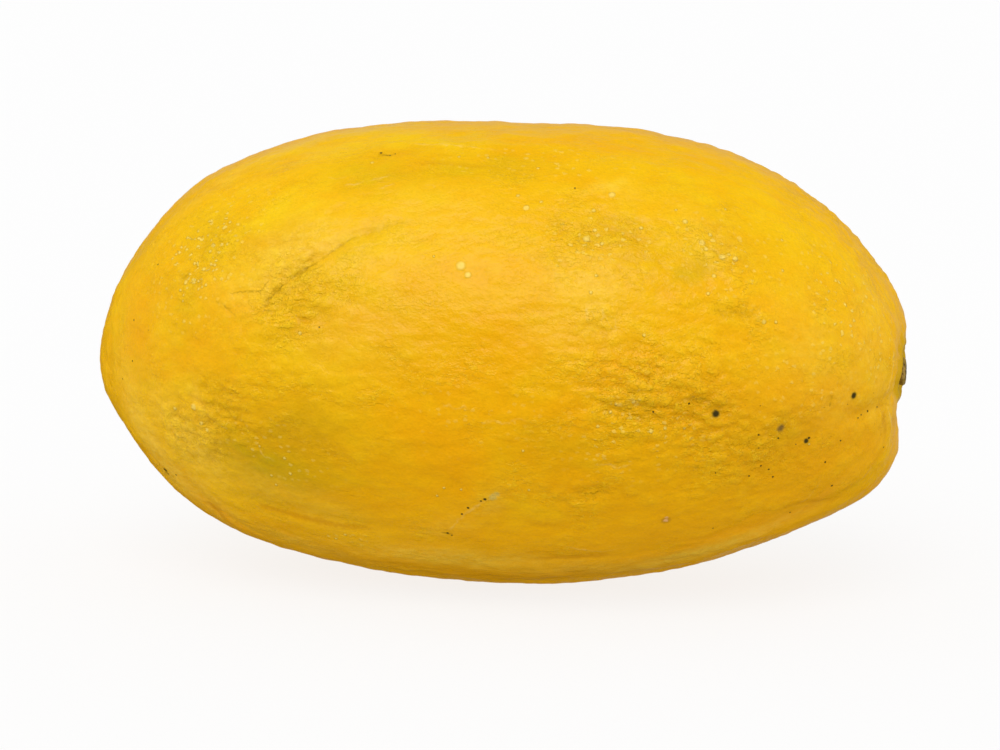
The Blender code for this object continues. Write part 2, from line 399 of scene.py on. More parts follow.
# %% Both ends
STEM_HEIGHT = 69.5
SEAT_X = 122.4
SEAT_RADIUS = 5.9
LIP_RADIUS = 8.4
COLLAR_RADIUS = 7.8
COLLAR_WIDTH = 1.5
COLLAR_HEIGHT = 0.9
PUCKER_TURNS = (0.03, 0.36, 0.52, 0.69, 0.86)
PUCKER_DEPTH = 0.9
PUCKER_RADIUS = 11.0
PUCKER_REACH = 3.0
PUCKER_SHARPNESS = 9.0
SCAR_DEPTH = 1.2
SCAR_RADIUS = 6.0


def round_axis(points, height):
    """Distance of each point from a line along X at a height, and its angle round that line."""
    rise = points[:, 2] - height
    return np.hypot(points[:, 1], rise), np.arctan2(rise, points[:, 1])


def sink_stem_hollow(points):
    """Draw the skin in round the stem to a flat seat, with puckers in the lip."""
    reach, turn = round_axis(points, STEM_HEIGHT)
    pucker = np.zeros(len(points))
    for share in PUCKER_TURNS:
        pucker += np.exp(PUCKER_SHARPNESS * (np.cos(turn - 2.0 * np.pi * share) - 1.0))
    band = np.exp(-((reach - PUCKER_RADIUS) / PUCKER_REACH) ** 2)
    puckered = points[:, 0] - PUCKER_DEPTH * pucker * band
    hollowed = SEAT_X + (puckered - SEAT_X) * smooth_step(reach, SEAT_RADIUS, LIP_RADIUS)
    hollowed = hollowed + COLLAR_HEIGHT * np.exp(-((reach - COLLAR_RADIUS) / COLLAR_WIDTH) ** 2)
    points[:, 0] = np.where(points[:, 0] > CORE_HALF_LENGTH, hollowed, points[:, 0])


def press_flower_scar(points):
    """Dimple the blossom end where the flower was."""
    from_axis = round_axis(points, LEFT_END_HEIGHT)[0]
    dimple = SCAR_DEPTH * np.exp(-(from_axis / SCAR_RADIUS) ** 2)
    points[:, 0] += np.where(points[:, 0] < -CORE_HALF_LENGTH, dimple, 0.0)


def outward_from_core(points):
    """Unit directions out of the body, away from a core line on its middle."""
    core_x = np.clip(points[:, 0], -CORE_HALF_LENGTH, CORE_HALF_LENGTH)
    middle = middle_and_radius(points[:, 0])[0]
    outward = points - np.stack([core_x, np.zeros(len(points)), middle], axis=-1)
    return outward / np.linalg.norm(outward, axis=1, keepdims=True)


def main_form(polar, turn):
    """The rind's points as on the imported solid, without the flat spot, and their outward directions."""
    points = plain_body(polar, turn)
    outward = outward_from_core(points)
    points = points + outward * broad_relief(points)[:, None]
    sink_stem_hollow(points)
    press_flower_scar(points)
    return points, outward


print("stem hollow:", round(RIGHT_END - SEAT_X, 1), "mm deep")

# %% [markdown]
# The fine skin starts as a ball made from the six sides of a box, each cut into a grid, and is then
# moved onto the form. A ball with rings and poles would crowd its faces at the two ends. The faces are
# packed a little closer on the side seen here and round the stem, where the small forms are.

# %% The fine mesh before its relief
CELLS_ALONG = 166
CELLS_ROUND = 110
FRONT_CROWDING = 0.34
FRONT_TURN = math.radians(172.0)
STEM_CROWDING = 0.42
STEM_SPREAD = 0.8


def ball_from_box(counts):
    """Points and four-sided faces of a ball made from a box with counts cells along its three axes."""
    points = []
    faces = []
    passed = 0
    for axis in range(3):
        first, second = (axis + 1) % 3, (axis + 2) % 3
        across = np.tan(np.linspace(-1.0, 1.0, counts[first] + 1) * math.pi / 4.0)
        along = np.tan(np.linspace(-1.0, 1.0, counts[second] + 1) * math.pi / 4.0)
        for side in (-1.0, 1.0):
            grid = np.empty((len(across), len(along), 3))
            grid[..., axis] = side
            grid[..., first] = across[:, None]
            grid[..., second] = along[None, :]
            corner = passed + np.arange(len(across) * len(along)).reshape(len(across), len(along))
            ring = [corner[:-1, :-1], corner[1:, :-1], corner[1:, 1:], corner[:-1, 1:]]
            if side < 0.0:
                ring.reverse()
            faces.append(np.stack(ring, axis=-1).reshape(-1, 4))
            points.append(grid.reshape(-1, 3))
            passed += corner.size
    points = np.concatenate(points)
    points /= np.linalg.norm(points, axis=1, keepdims=True)
    shared, index = np.unique(np.round(points, 6), axis=0, return_inverse=True)
    return shared, index.ravel()[np.concatenate(faces)]


ball, skin_faces = ball_from_box((CELLS_ROUND, CELLS_ROUND, CELLS_ALONG))
even_polar = np.arccos(np.clip(ball[:, 2], -1.0, 1.0))
even_turn = np.arctan2(ball[:, 1], ball[:, 0])
polar = even_polar * (1.0 - STEM_CROWDING * np.exp(-(even_polar / STEM_SPREAD) ** 2))
turn = even_turn - FRONT_CROWDING * np.sin(even_turn - FRONT_TURN)
skin_points, outward = main_form(polar, turn)
print("skin:", len(ball), "points,", 2 * len(skin_faces), "triangles")

# %% [markdown]
# Marks are listed where the photograph shows them, in its pixels, and a ray from the camera through
# that pixel finds the spot on the skin that carries them. Reading each place off in millimetres would
# work too, but it is slow and less exact on a curved side. On the side that the photograph hides, a
# place is given by its distance along the fruit and its turn round it.

# %% Find a place on the skin
form_tree = BVHTree.FromPolygons(skin_points.tolist(), skin_faces.tolist())
MM_PER_PIXEL = CAMERA_DISTANCE / PIXELS_PER_SLOPE
MIDDLE_PIXEL = (500.0, 350.0)
STEP_INWARD = 0.004


def skin_under(across, down):
    """The point of the skin that the photograph shows at a pixel, and the way out of the skin there."""
    hit = None
    while hit is None:
        slope_right = (across - IMAGE_WIDTH / 2.0) / PIXELS_PER_SLOPE
        slope_up = (IMAGE_HEIGHT / 2.0 - down) / PIXELS_PER_SLOPE
        ray = RIGHT * slope_right + UP * slope_up - BACKWARD
        hit, normal = form_tree.ray_cast(EYE, ray.normalized())[:2]
        across += STEP_INWARD * (MIDDLE_PIXEL[0] - across)
        down += STEP_INWARD * (MIDDLE_PIXEL[1] - down)
    return np.array(hit), np.array(normal)


def skin_at(x, degrees):
    """The point of the skin at x, turned so many degrees from the back round over the top."""
    middle = float(middle_and_radius(np.float64(x))[0])
    way_out = Vector((0.0, math.cos(math.radians(degrees)), math.sin(math.radians(degrees))))
    hit, normal = form_tree.ray_cast(Vector((x, 0.0, middle)), way_out)[:2]
    return np.array(hit), np.array(normal) * math.copysign(1.0, normal.dot(way_out))


print("middle of the view lands on", [round(value) for value in skin_under(500, 375)[0]], "mm")

# %% [markdown]
# Soft patches carry both the lumpy relief and the tints. Each is an oval on the skin with a soft edge,
# and noise pushes the edge about, because nothing on a rind ends in a clean oval.

# %% Noise on the skin
WARP_SIZE = 13.0
WARP_SHIFTS = (2.0, 31.0, 67.0)
FINE_WARP_SIZE = WARP_SIZE / 3.5
FINE_WARP_SHIFTS = (5.0, 43.0, 71.0)
FINE_WARP_SHARE = 0.4
WARP_REACH = 4.5
VALLEY_WIDTH = 0.5


def noise_field(points, sizes, shift=0.0):
    """Smooth noise from -1 to 1 at each point, with its grain stretched to the three sizes."""
    scaled = points / np.array(sizes) + shift
    return np.array([noise.noise(place) for place in scaled.tolist()])


def crumple_field(points, sizes, shift=0.0):
    """Plateaus with narrow valleys between them, 1 on top and 0 in the valleys, like crumpled foil."""
    scaled = points / np.array(sizes) + shift
    nearest_two = np.array([noise.voronoi(place)[0][:2] for place in scaled.tolist()])
    return smooth_step(nearest_two[:, 1] - nearest_two[:, 0], 0.0, VALLEY_WIDTH)


def warp_field(size, shifts):
    """Three noises of one size, one for each direction of a shift."""
    return np.stack([noise_field(skin_points, (size,) * 3, shift) for shift in shifts], axis=-1)


warp = warp_field(WARP_SIZE, WARP_SHIFTS) + FINE_WARP_SHARE * warp_field(FINE_WARP_SIZE, FINE_WARP_SHIFTS)
warped_points = skin_points + WARP_REACH * warp
print("patch edges wander by about", WARP_REACH, "mm")

# %% Soft oval patches
FACING_LIMIT = 0.15
HIDDEN_REACH = 105.0
HIDDEN_TURNS = (-78.0, 82.0)
HIDDEN_LENGTHS = (8.0, 24.0)
HIDDEN_SLIMNESS = (0.35, 0.7)
HIDDEN_TILTS = (-25.0, 25.0)
HIDDEN_STRENGTHS = (0.5, 1.0)
SEED = 11
hidden_random = random.Random(SEED)


def oval(points, spot, half_length, half_width, tilt=0.0):
    """How much each point lies in a soft oval on the skin, 0 to 1; the tilt lifts its right end."""
    centre, normal = spot
    along = np.array([1.0, 0.0, 0.0]) - normal * normal[0]
    along /= np.linalg.norm(along)
    up = np.cross(normal, along)
    lean = math.radians(tilt)
    offset = points - centre
    length_share = (offset @ (math.cos(lean) * along + math.sin(lean) * up)) / half_length
    width_share = (offset @ (math.cos(lean) * up - math.sin(lean) * along)) / half_width
    facing = outward @ normal > FACING_LIMIT
    return np.where(facing, np.exp(-0.5 * (length_share ** 2 + width_share ** 2)), 0.0)


def patch_field(patches):
    """The strongest at each point of patches given by pixel, half sizes in mm, strength and maybe a tilt."""
    field = np.zeros(len(warped_points))
    for across, down, half_length, half_width, strength, *tilt in patches:
        patch = oval(warped_points, skin_under(across, down), half_length, half_width, *tilt)
        field = np.maximum(field, strength * patch)
    return field


def add_hidden(field, count, strength):
    """Add patches that are scattered over the hidden side to a field."""
    draw = hidden_random.uniform
    for number in range(count):
        spot = skin_at(draw(-HIDDEN_REACH, HIDDEN_REACH), draw(*HIDDEN_TURNS))
        half_length = draw(*HIDDEN_LENGTHS)
        half_width = half_length * draw(*HIDDEN_SLIMNESS)
        patch = oval(warped_points, spot, half_length, half_width, draw(*HIDDEN_TILTS))
        field = np.maximum(field, strength * draw(*HIDDEN_STRENGTHS) * patch)
    return field


print("a hidden patch is at most", HIDDEN_LENGTHS[1], "mm in half length")

# %% [markdown]
# Small relief comes in layers. Long wrinkles run from end to end, as the rind stretched most that way.
# Some areas are lumpy, like the rough patch right of the middle. Then come single bumps and dents, and
# fine pleats that run out from the stem. All of it is pushed outwards along the skin.

# %% Where the rind is rough
# Pixel, half length and half width in mm, strength, and the tilt in degrees where there is one
ROUGH_PATCHES = [
    (655, 395, 17, 11, 0.95, -15), (700, 430, 18, 9, 0.6, -8), (207, 428, 9, 16, 0.65, -60),
    (205, 262, 9, 14, 0.6, -40), (288, 296, 13, 10, 0.75, 30), (600, 325, 9, 8, 0.45, 60),
    (725, 252, 12, 7, 0.55, -25), (590, 235, 16, 9, 0.5, -10), (730, 312, 10, 5, 0.5, -10),
    (330, 390, 18, 10, 0.2), (740, 470, 16, 8, 0.4), (840, 300, 10, 14, 0.3), (590, 495, 14, 4, 0.4),
    (420, 370, 22, 8, 0.14), (560, 365, 16, 6, 0.3),
]
# How many patches lie on the hidden side, and their greatest strength
HIDDEN_ROUGH = (7, 0.7)
SEEN_FROM = 0.3
rough = add_hidden(patch_field(ROUGH_PATCHES), *HIDDEN_ROUGH)
print("rough over", round(100 * float((rough > SEEN_FROM).mean())), "percent of the skin's points")

# %% Layers of relief
# Each layer: its grain in mm along, across and up, the shift of its noise, and its height in mm
WRINKLES = ((13.0, 2.4, 2.4), 0.0, 0.10)
DIMPLES = ((8.0, 5.5, 5.5), 23.9, 0.24)
KNOBS = ((3.4, 2.3, 2.3), 17.3, 0.62)
UNDULATION = ((30.0, 19.0, 19.0), 3.1, 0.66)
RIPPLES = ((15.0, 9.0, 9.0), 37.3, 0.30)
LUMP_SIZES = (5.6, 4.0, 4.0)
LUMP_SHIFTS = (11.7, 91.1)
LUMP_HEIGHT = 0.76
LUMP_WARP = 0.8
QUIET_SHARE = 0.17


def relief_layer(sizes, shift, height):
    """One layer of noise, as heights in mm."""
    return height * noise_field(skin_points, sizes, shift)


lumps = crumple_field(skin_points + LUMP_WARP * warp, LUMP_SIZES, LUMP_SHIFTS[0]) - 0.5
lumps += noise_field(skin_points, LUMP_SIZES, LUMP_SHIFTS[1])
fine_relief = relief_layer(*WRINKLES) + relief_layer(*DIMPLES)
fine_relief += (QUIET_SHARE + rough) * (LUMP_HEIGHT * lumps + relief_layer(*KNOBS))
relief = relief_layer(*UNDULATION) + relief_layer(*RIPPLES) + fine_relief
print("relief from", round(relief.min(), 2), "to", round(relief.max(), 2), "mm")

# %% Single bumps and dents
BUMP_SLIMNESS = 0.8
# Pixel, radius in mm, and height in mm
BUMPS = [
    (633, 384, 3, 0.75), (646, 389, 1.6, 0.35), (659, 386, 2.2, 0.5), (670, 372, 2.8, 0.55),
    (689, 378, 3.8, 0.55), (672, 402, 1.8, 0.3), (651, 432, 2, 0.4), (665, 429, 2, 0.45),
    (709, 359, 3.2, 0.45), (727, 472, 2.6, 0.25), (631, 401, 1.5, 0.25), (697, 398, 3, -0.3),
    (640, 414, 2.2, -0.25), (264, 327, 2.6, 0.5), (305, 317, 3, -0.55), (319, 327, 2.4, 0.3),
    (315, 261, 1.8, -0.55), (286, 262, 4, 0.4), (252, 276, 4.5, 0.4), (240, 300, 5, 0.3),
    (588, 313, 1.8, 0.4), (603, 313, 1.8, 0.45), (615, 325, 1.8, 0.4), (641, 303, 2.2, 0.35),
    (461, 266, 1.7, 0.3), (692, 272, 5, -0.4), (618, 232, 5.5, -0.5), (560, 352, 4, 0.3),
    (578, 358, 3.4, 0.35), (215, 440, 2.4, 0.3), (199, 412, 2, 0.35), (386, 154, 3, -0.45),
    (494, 497, 2.2, 0.3), (666, 521, 2, -0.25), (832, 486, 3, -0.3), (745, 285, 6, 0.35),
    (874, 405, 4.5, 0.45), (690, 205, 5, 0.3), (512, 158, 8, -0.3), (215, 228, 6, -0.4),
    (290, 450, 12, -0.4),
]
bump_relief = np.zeros(len(skin_points))
for across, down, radius, height in BUMPS:
    bump_relief += height * oval(skin_points, skin_under(across, down), radius, radius * BUMP_SLIMNESS)
print(len(BUMPS), "single bumps and dents")

# %% Pleats round the stem and the blossom end
# How many, height in mm, radii where they start, are full, begin to fade and end, and how they wander:
# by how much, and the grain in mm and the shift of the noise for it
STEM_PLEATS = (17, 0.20, (6.5, 10.5, 8.5, 26.0), (5.0, 9.0, 51.0))
SCAR_PLEATS = (11, 0.16, (1.5, 4.0, 4.0, 16.0), (4.0, 7.0, 57.0))


def pleats(reach, turn, count, height, radii, wander):
    """Rays of low pleats that run out from an end of the fruit."""
    start, full, fade, stop = radii
    amount, grain, shift = wander
    band = smooth_step(reach, start, full) * (1.0 - smooth_step(reach, fade, stop))
    return height * band * np.cos(count * turn + amount * noise_field(skin_points, (grain,) * 3, shift))


stem_reach, stem_turn = round_axis(skin_points, STEM_HEIGHT)
scar_reach, scar_turn = round_axis(skin_points, LEFT_END_HEIGHT)
at_stem_end = skin_points[:, 0] > CORE_HALF_LENGTH
at_scar_end = skin_points[:, 0] < -CORE_HALF_LENGTH
relief += bump_relief + np.where(at_stem_end, pleats(stem_reach, stem_turn, *STEM_PLEATS), 0.0)
relief += np.where(at_scar_end, pleats(scar_reach, scar_turn, *SCAR_PLEATS), 0.0)
print("pleats:", STEM_PLEATS[0], "at the stem,", SCAR_PLEATS[0], "at the blossom end")

# %% Raise the relief and lay the skin down
# The relief fades out between these radii round the stem, so that the seat stays flat
SEAT_FADE = (6.5, LIP_RADIUS + 3.0)
seat_share = np.where(at_stem_end, smooth_step(stem_reach, *SEAT_FADE), 1.0)
fine_points = skin_points + outward * (relief * seat_share)[:, None]
fine_points[:, 2] = np.maximum(fine_points[:, 2], 0.0)


def add_piece(name, points, faces):
    """A smooth piece from points in mm and faces; gives the object and its mesh."""
    mesh = bpy.data.meshes.new(name)
    mesh.from_pydata((points * MM).tolist(), [], faces)
    mesh.shade_smooth()
    return add_object(name, mesh), mesh


skin, skin_mesh = add_piece("skin", fine_points, skin_faces.tolist())
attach(skin, "root")
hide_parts("fruit")


def keep_on_skin(name, values, mesh=skin_mesh):
    """Store one number, or one row of three, at each point of a mesh for its material to read."""
    kind, slot = ("FLOAT", "value") if values.ndim == 1 else ("FLOAT_VECTOR", "vector")
    attribute = mesh.attributes.new(name, kind, "POINT")
    attribute.data.foreach_set(slot, values.astype(np.float32).ravel())


print("skin laid on the floor,", round(float(np.ptp(fine_points[:, 2])), 1), "mm high")

# %% [markdown]
# A ripe rind is not one yellow. Where it caught the sun it is deeper and more orange, other parts keep a
# lemon or green tinge, and a thin whitish bloom lies on some of it. The lemon and bloom patches also carry
# painted sheen and lighter rims, and the deep patches carry painted shade low on the belly and at the floor.
# Each tint is a field of soft patches that is stored on the mesh. Painting an image would need a flat map of
# the skin, which this avoids.

# %% Tints
# Pixel, half length and half width in mm, strength, and the tilt in degrees where there is one
TINT_PATCHES = {
    # Partly a real lemon tinge, partly painted light: a pale sheen on the upper left and lighter rims low on
    # the left and along the bottom
    "lemon_and_sheen": [
        (275, 215, 20, 7, 0.9, 30), (245, 285, 9, 6, 0.5, 38), (385, 176, 15, 6, 0.5, 4),
        (330, 140, 20, 5, 0.6, 18), (410, 140, 26, 6, 0.8, 5), (385, 190, 30, 13, 0.6),
        (325, 250, 34, 20, 0.5, 15), (230, 205, 16, 9, 0.5, 38), (480, 225, 26, 10, 0.35),
        (325, 240, 16, 8, 0.6, 25), (262, 262, 14, 8, 0.6, 35), (365, 330, 12, 8, 0.45),
        (300, 305, 8, 3, 0.8), (250, 360, 15, 10, 0.35), (200, 395, 9, 5, 0.5, -20),
        (180, 432, 8, 12, 0.5, -50), (725, 306, 8, 4, 0.6), (850, 360, 10, 8, 0.4),
        (290, 290, 10, 6, 0.5, 30), (330, 385, 8, 5, 0.4), (300, 335, 15, 8, 0.45), (611, 193, 5, 3, 0.9),
        (560, 200, 20, 8, 0.35), (680, 250, 12, 8, 0.6, -30), (700, 190, 24, 9, 0.6, -15),
        (775, 225, 18, 12, 0.6, -30), (845, 280, 12, 14, 0.45), (345, 450, 15, 11, 0.55),
        (535, 508, 9, 6, 0.7), (885, 390, 4, 8, 0.4), (165, 335, 6, 7, 0.45), (120, 300, 5, 14, 0.35),
        (180, 452, 14, 7, 0.6, -52), (225, 495, 16, 5, 0.7, -38), (235, 500, 18, 9, 1, -32),
        (300, 518, 24, 6, 0.7, -10), (390, 535, 14, 5, 0.4, -8), (490, 470, 7, 11, 0.4),
        (608, 320, 12, 8, 0.8), (632, 402, 9, 5, 0.8), (575, 358, 10, 4, 0.5), (700, 553, 20, 3, 0.7, 8),
        (455, 560, 16, 4, 0.6, -3), (140, 425, 6, 14, 0.4, -35), (690, 462, 12, 6, 0.3),
        (700, 350, 10, 6, 0.5), (590, 300, 10, 5, 0.4), (872, 470, 10, 5, 0.5, 40), (870, 398, 6, 5, 0.5),
        (210, 250, 9, 10, 0.3, 40), (300, 188, 14, 6, 0.4, 25), (540, 505, 8, 5, 0.4),
    ],
    "orange": [
        (460, 452, 10, 10, 0.55), (565, 482, 11, 8, 0.5), (520, 345, 19, 8, 0.6), (470, 380, 13, 9, 0.6),
        (655, 385, 20, 13, 0.65, -15), (715, 395, 14, 10, 0.6, -10), (700, 335, 17, 11, 0.45),
        (640, 312, 15, 6, 0.4), (430, 425, 13, 13, 0.6), (560, 425, 18, 9, 0.6), (590, 345, 12, 5, 0.5),
        (800, 420, 16, 12, 0.6), (350, 335, 12, 6, 0.4, -15), (235, 302, 9, 5, 0.5),
        (150, 335, 9, 12, 0.45), (215, 335, 12, 5, 0.4), (860, 440, 8, 14, 0.4), (802, 507, 13, 3, 0.6, 12),
        (722, 536, 20, 3, 0.4, 11), (745, 318, 14, 7, 0.35), (436, 275, 19, 8, 0.25),
        (522, 275, 14, 7, 0.2), (560, 325, 18, 8, 0.4), (480, 405, 12, 9, 0.5), (820, 465, 14, 7, 0.45, 25),
        (560, 215, 20, 6, 0.3), (590, 392, 12, 5, 0.4), (722, 385, 12, 8, 0.5), (550, 142, 16, 3, 0.35),
        (340, 190, 10, 4, 0.4, 10), (408, 165, 7, 4, 0.35), (170, 322, 6, 7, 0.3), (208, 365, 11, 6, 0.45),
        (305, 317, 4, 3, 0.5), (229, 519, 9, 2, 0.4, -38), (860, 325, 8, 12, 0.4),
        (330, 245, 8, 4, 0.35, 20),
    ],
    # Partly a deeper tone of the rind, partly painted shade low on the belly and along the bottom where the
    # fruit meets the floor
    "deep_and_shade": [
        (545, 462, 14, 7, 0.55), (490, 495, 8, 8, 0.5), (440, 465, 14, 9, 0.35),
        (785, 440, 24, 11, 0.85, 12), (724, 411, 9, 7, 0.8), (520, 472, 30, 10, 0.25),
        (884, 412, 8, 4, 0.8, 15), (210, 330, 14, 6, 0.25), (142, 335, 8, 12, 0.35), (650, 480, 18, 8, 0.4),
        (740, 478, 16, 8, 0.4, 10), (285, 480, 17, 5, 0.75, -10), (400, 355, 9, 7, 0.35),
        (690, 415, 12, 6, 0.3, -20), (720, 412, 5, 5, 0.35), (345, 408, 9, 5, 0.3),
        (268, 245, 10, 5, 0.5, 20), (318, 290, 6, 4, 0.25), (690, 200, 9, 4, 0.3, -15),
        (435, 150, 18, 3, 0.3), (655, 135, 16, 3, 0.25, -8), (740, 235, 12, 6, 0.25, -20),
        (626, 258, 5, 6, 0.3, -30), (540, 262, 5, 4, 0.1), (855, 435, 16, 9, 0.7, 25),
        (528, 577, 34, 5, 1.6), (365, 560, 17, 3.5, 1, -8), (308, 443, 15, 8, 0.95),
        (372, 462, 12, 9, 0.45), (262, 252, 9, 5, 0.4, 20), (400, 186, 14, 4, 0.3), (365, 320, 16, 9, 0.35),
        (238, 408, 13, 8, 0.55), (600, 462, 16, 6, 0.35), (575, 335, 12, 5, 0.25), (470, 345, 14, 8, 0.2),
        (620, 505, 12, 7, 0.35), (640, 255, 7, 4, 0.3), (680, 525, 10, 3, 0.35, 8), (440, 530, 12, 5, 0.3),
        (180, 335, 8, 7, 0.25),
    ],
    "green": [
        (268, 466, 15, 8, 0.85, -8), (300, 430, 9, 7, 0.3), (232, 430, 7, 7, 0.25, -30),
        (214, 228, 6, 5, 0.22, 30), (385, 172, 12, 4, 0.4, 3), (470, 168, 18, 4, 0.35, 2),
        (306, 278, 9, 2.6, 0.12, 34), (357, 244, 7, 2.6, 0.2, 32), (608, 232, 15, 6, 0.2, -15),
        (692, 271, 3.4, 2.6, 0.6), (702, 397, 8, 3, 0.15, -10), (780, 430, 9, 4, 0.3, -10),
        (311, 325, 5, 4, 0.15), (565, 442, 10, 4, 0.3), (180, 308, 5, 5, 0.25),
    ],
    # Partly a whitish wax bloom, partly painted sheen on the shoulder and painted lighter rims low on the
    # left and along the bottom
    "bloom_and_sheen": [
        (288, 258, 12, 6, 0.95, 38), (330, 150, 15, 5, 0.45, 15), (345, 262, 11, 5, 0.45, 20),
        (240, 288, 7, 5, 0.45), (880, 386, 4, 6, 0.5), (432, 214, 15, 6, 0.3), (400, 246, 14, 5, 0.25),
        (470, 236, 14, 7, 0.2), (590, 285, 7, 11, 0.55), (612, 193, 5, 2.4, 0.9),
        (706, 237, 10, 5, 0.35, -30), (812, 345, 9, 11, 0.45), (868, 335, 7, 14, 0.45),
        (158, 452, 19, 5, 1, -53), (185, 442, 12, 7, 0.85, -50), (455, 560, 20, 4, 0.8, -3),
        (205, 492, 14, 4, 0.6, -45), (590, 568, 16, 2.4, 0.5), (300, 543, 14, 3, 0.5, -12),
        (265, 158, 26, 4, 0.7, 26), (197, 408, 5, 2.2, 0.6, -65), (342, 330, 12, 8, 0.3),
        (372, 318, 12, 6, 0.25), (486, 501, 6, 2.6, 0.4, 25), (446, 524, 7, 3, 0.35, 20),
        (330, 517, 10, 3, 0.3, -12), (268, 490, 16, 4, 0.3, -12), (705, 551, 22, 3, 1, 8),
        (888, 405, 2.4, 7, 0.5), (705, 258, 5, 4, 0.5), (845, 395, 10, 5, 0.35), (560, 320, 9, 5, 0.3),
    ],
    # Where pale wax beads gather; their pale colour is partly a painted glint
    "beads_and_glints": [
        (205, 250, 10, 13, 1, -35), (192, 288, 7, 8, 0.8), (845, 300, 9, 13, 0.9), (600, 240, 12, 7, 0.6),
        (270, 455, 12, 6, 0.5, -10), (725, 255, 13, 8, 0.6, -25), (640, 430, 14, 9, 0.5),
        (880, 340, 5, 12, 0.6), (340, 537, 4, 2, 0.6), (540, 160, 18, 6, 0.45), (800, 380, 12, 8, 0.4),
        (480, 410, 16, 8, 0.25),
    ],
    "specks": [
        (800, 440, 24, 12, 1), (700, 480, 22, 10, 0.5), (150, 380, 8, 18, 0.6), (190, 330, 12, 12, 0.4),
        (860, 410, 7, 7, 0.8),
    ],
}
# How many patches lie on the hidden side, and their greatest strength
HIDDEN_TINTS = {"lemon_and_sheen": (9, 0.9), "orange": (10, 0.9), "deep_and_shade": (8, 0.5), "green": (7, 0.7),
                "bloom_and_sheen": (8, 0.7), "beads_and_glints": (5, 0.8), "specks": (4, 0.9)}
for tint, patches in TINT_PATCHES.items():
    field = add_hidden(patch_field(patches), *HIDDEN_TINTS[tint])
    keep_on_skin(tint, field)
    print(tint, "covers", round(100 * float((field > SEEN_FROM).mean())), "percent")

# %% Underside, rough places, both ends and broad noises
UNDERSIDE_SPAN = (-0.95, 0.1)
RAISED_SCALE = 0.40
RAISED_LIMIT = 1.5
STEM_TINT_RADII = (7.5, 13.0)
SCAR_TINT_RADIUS = 2.2
CLOUD_SHARES = (0.8, 0.4)
PATCHY_FROM = -0.2

patchiness = noise_field(warped_points, (13.0, 9.0, 9.0), 79.9)
FIELDS = {
    # Painted shade: a share that rises on faces turned down, where the rind is painted deeper orange
    "underside_shade": 1.0 - smooth_step(outward[:, 2], *UNDERSIDE_SPAN),
    "rough": rough,
    "raised": np.clip((fine_relief + bump_relief) / RAISED_SCALE, -RAISED_LIMIT, RAISED_LIMIT),
    "near_stem": np.where(at_stem_end, 1.0 - smooth_step(stem_reach, *STEM_TINT_RADII), 0.0),
    "near_scar": np.where(at_scar_end, np.exp(-(scar_reach / SCAR_TINT_RADIUS) ** 2), 0.0),
    "blotches": noise_field(skin_points, (20.0, 11.0, 11.0), 71.3),
    "clouds": CLOUD_SHARES[0] * noise_field(skin_points, (7.5, 4.5, 4.5), 63.1)
    + CLOUD_SHARES[1] * noise_field(skin_points, (3.7, 2.2, 2.2), 67.7),
    "patchy": np.clip((patchiness - PATCHY_FROM) / (1.0 - PATCHY_FROM), 0.0, 1.0),
}
for name, values in FIELDS.items():
    keep_on_skin(name, values)
print("fields on the skin:", len(skin_mesh.attributes))

# %% [markdown]
# Creases, scratches and grooves are drawn as smooth paths through pixels of the photograph. The pale
# scratch lines also paint highlights along ridges and along the rims at the stem end. The mesh is too
# coarse to hold a hairline, so each point stores how far it lies to the left or right of the nearest path.
# Between points that distance runs on evenly, and the material can draw a line of any width.

# %% Draw paths on the skin
PATH_STEP = 0.6
PATH_REACH = 3.0
PLAIN_LINE = (1.0, 0.3, 0.3)


def smooth_path(spots):
    """Points every PATH_STEP mm on a smooth curve through spots on the skin."""
    knots = np.array([spots[0]] + list(spots) + [spots[-1]])
    curve = []
    for before, start, end, after in zip(knots, knots[1:], knots[2:], knots[3:]):
        count = max(2, int(np.linalg.norm(end - start) / PATH_STEP))
        for share in np.arange(count) / count:
            bend = 2.0 * start + (end - before) * share
            bend += (2.0 * before - 5.0 * start + 4.0 * end - after) * share ** 2
            bend += (3.0 * start - before - 3.0 * end + after) * share ** 3
            curve.append(bend / 2.0)
    curve.append(knots[-1])
    return np.array(curve)


def draw_path(field, curve, strength, width, fade_in, fade_out):
    """Draw one path into a field of signed distance, weight and width, where it is the nearest path."""
    steps = np.linalg.norm(np.diff(curve, axis=0), axis=1)
    low, high = curve.min(axis=0) - PATH_REACH, curve.max(axis=0) + PATH_REACH
    near = np.flatnonzero(((skin_points > low) & (skin_points < high)).all(axis=1))
    best = np.full(len(near), PATH_REACH)
    passed = 0.0
    length = steps.sum()
    for start, end, step in zip(curve, curve[1:], steps):
        if step == 0.0:
            continue
        run = (end - start) / step
        offset = skin_points[near] - start
        share = np.clip(offset @ run, 0.0, step)
        away = offset - share[:, None] * run
        distance = np.linalg.norm(away, axis=1)
        side = np.sign((np.cross(run, away) * outward[near]).sum(axis=1))
        closer = (distance < best) & (distance < np.abs(field[near, 0]))
        reached = (passed + share) / length
        ends = smooth_step(reached, 0.0, fade_in) * (1.0 - smooth_step(reached, 1.0 - fade_out, 1.0))
        fall = 1.0 - smooth_step(distance, 0.5 * PATH_REACH, PATH_REACH)
        rows = near[closer]
        field[rows, 0] = (side * distance)[closer]
        field[rows, 1] = (strength * ends * fall)[closer]
        field[rows, 2] = width
        best = np.where(closer, distance, best)
        passed += step


def path_field(paths):
    """Signed distance to the nearest path, the line's weight and its width, at each point."""
    field = np.zeros((len(skin_points), 3))
    field[:, 0] = PATH_REACH
    for spots, strength, *form in paths:
        draw_path(field, smooth_path(spots), strength, *(form or PLAIN_LINE))
    return field


def lay_paths(paths, find):
    """Paths with the places that they pass found on the skin."""
    return [([find(*place)[0] for place in places], *form) for places, *form in paths]


print("paths reach", PATH_REACH, "mm to each side")

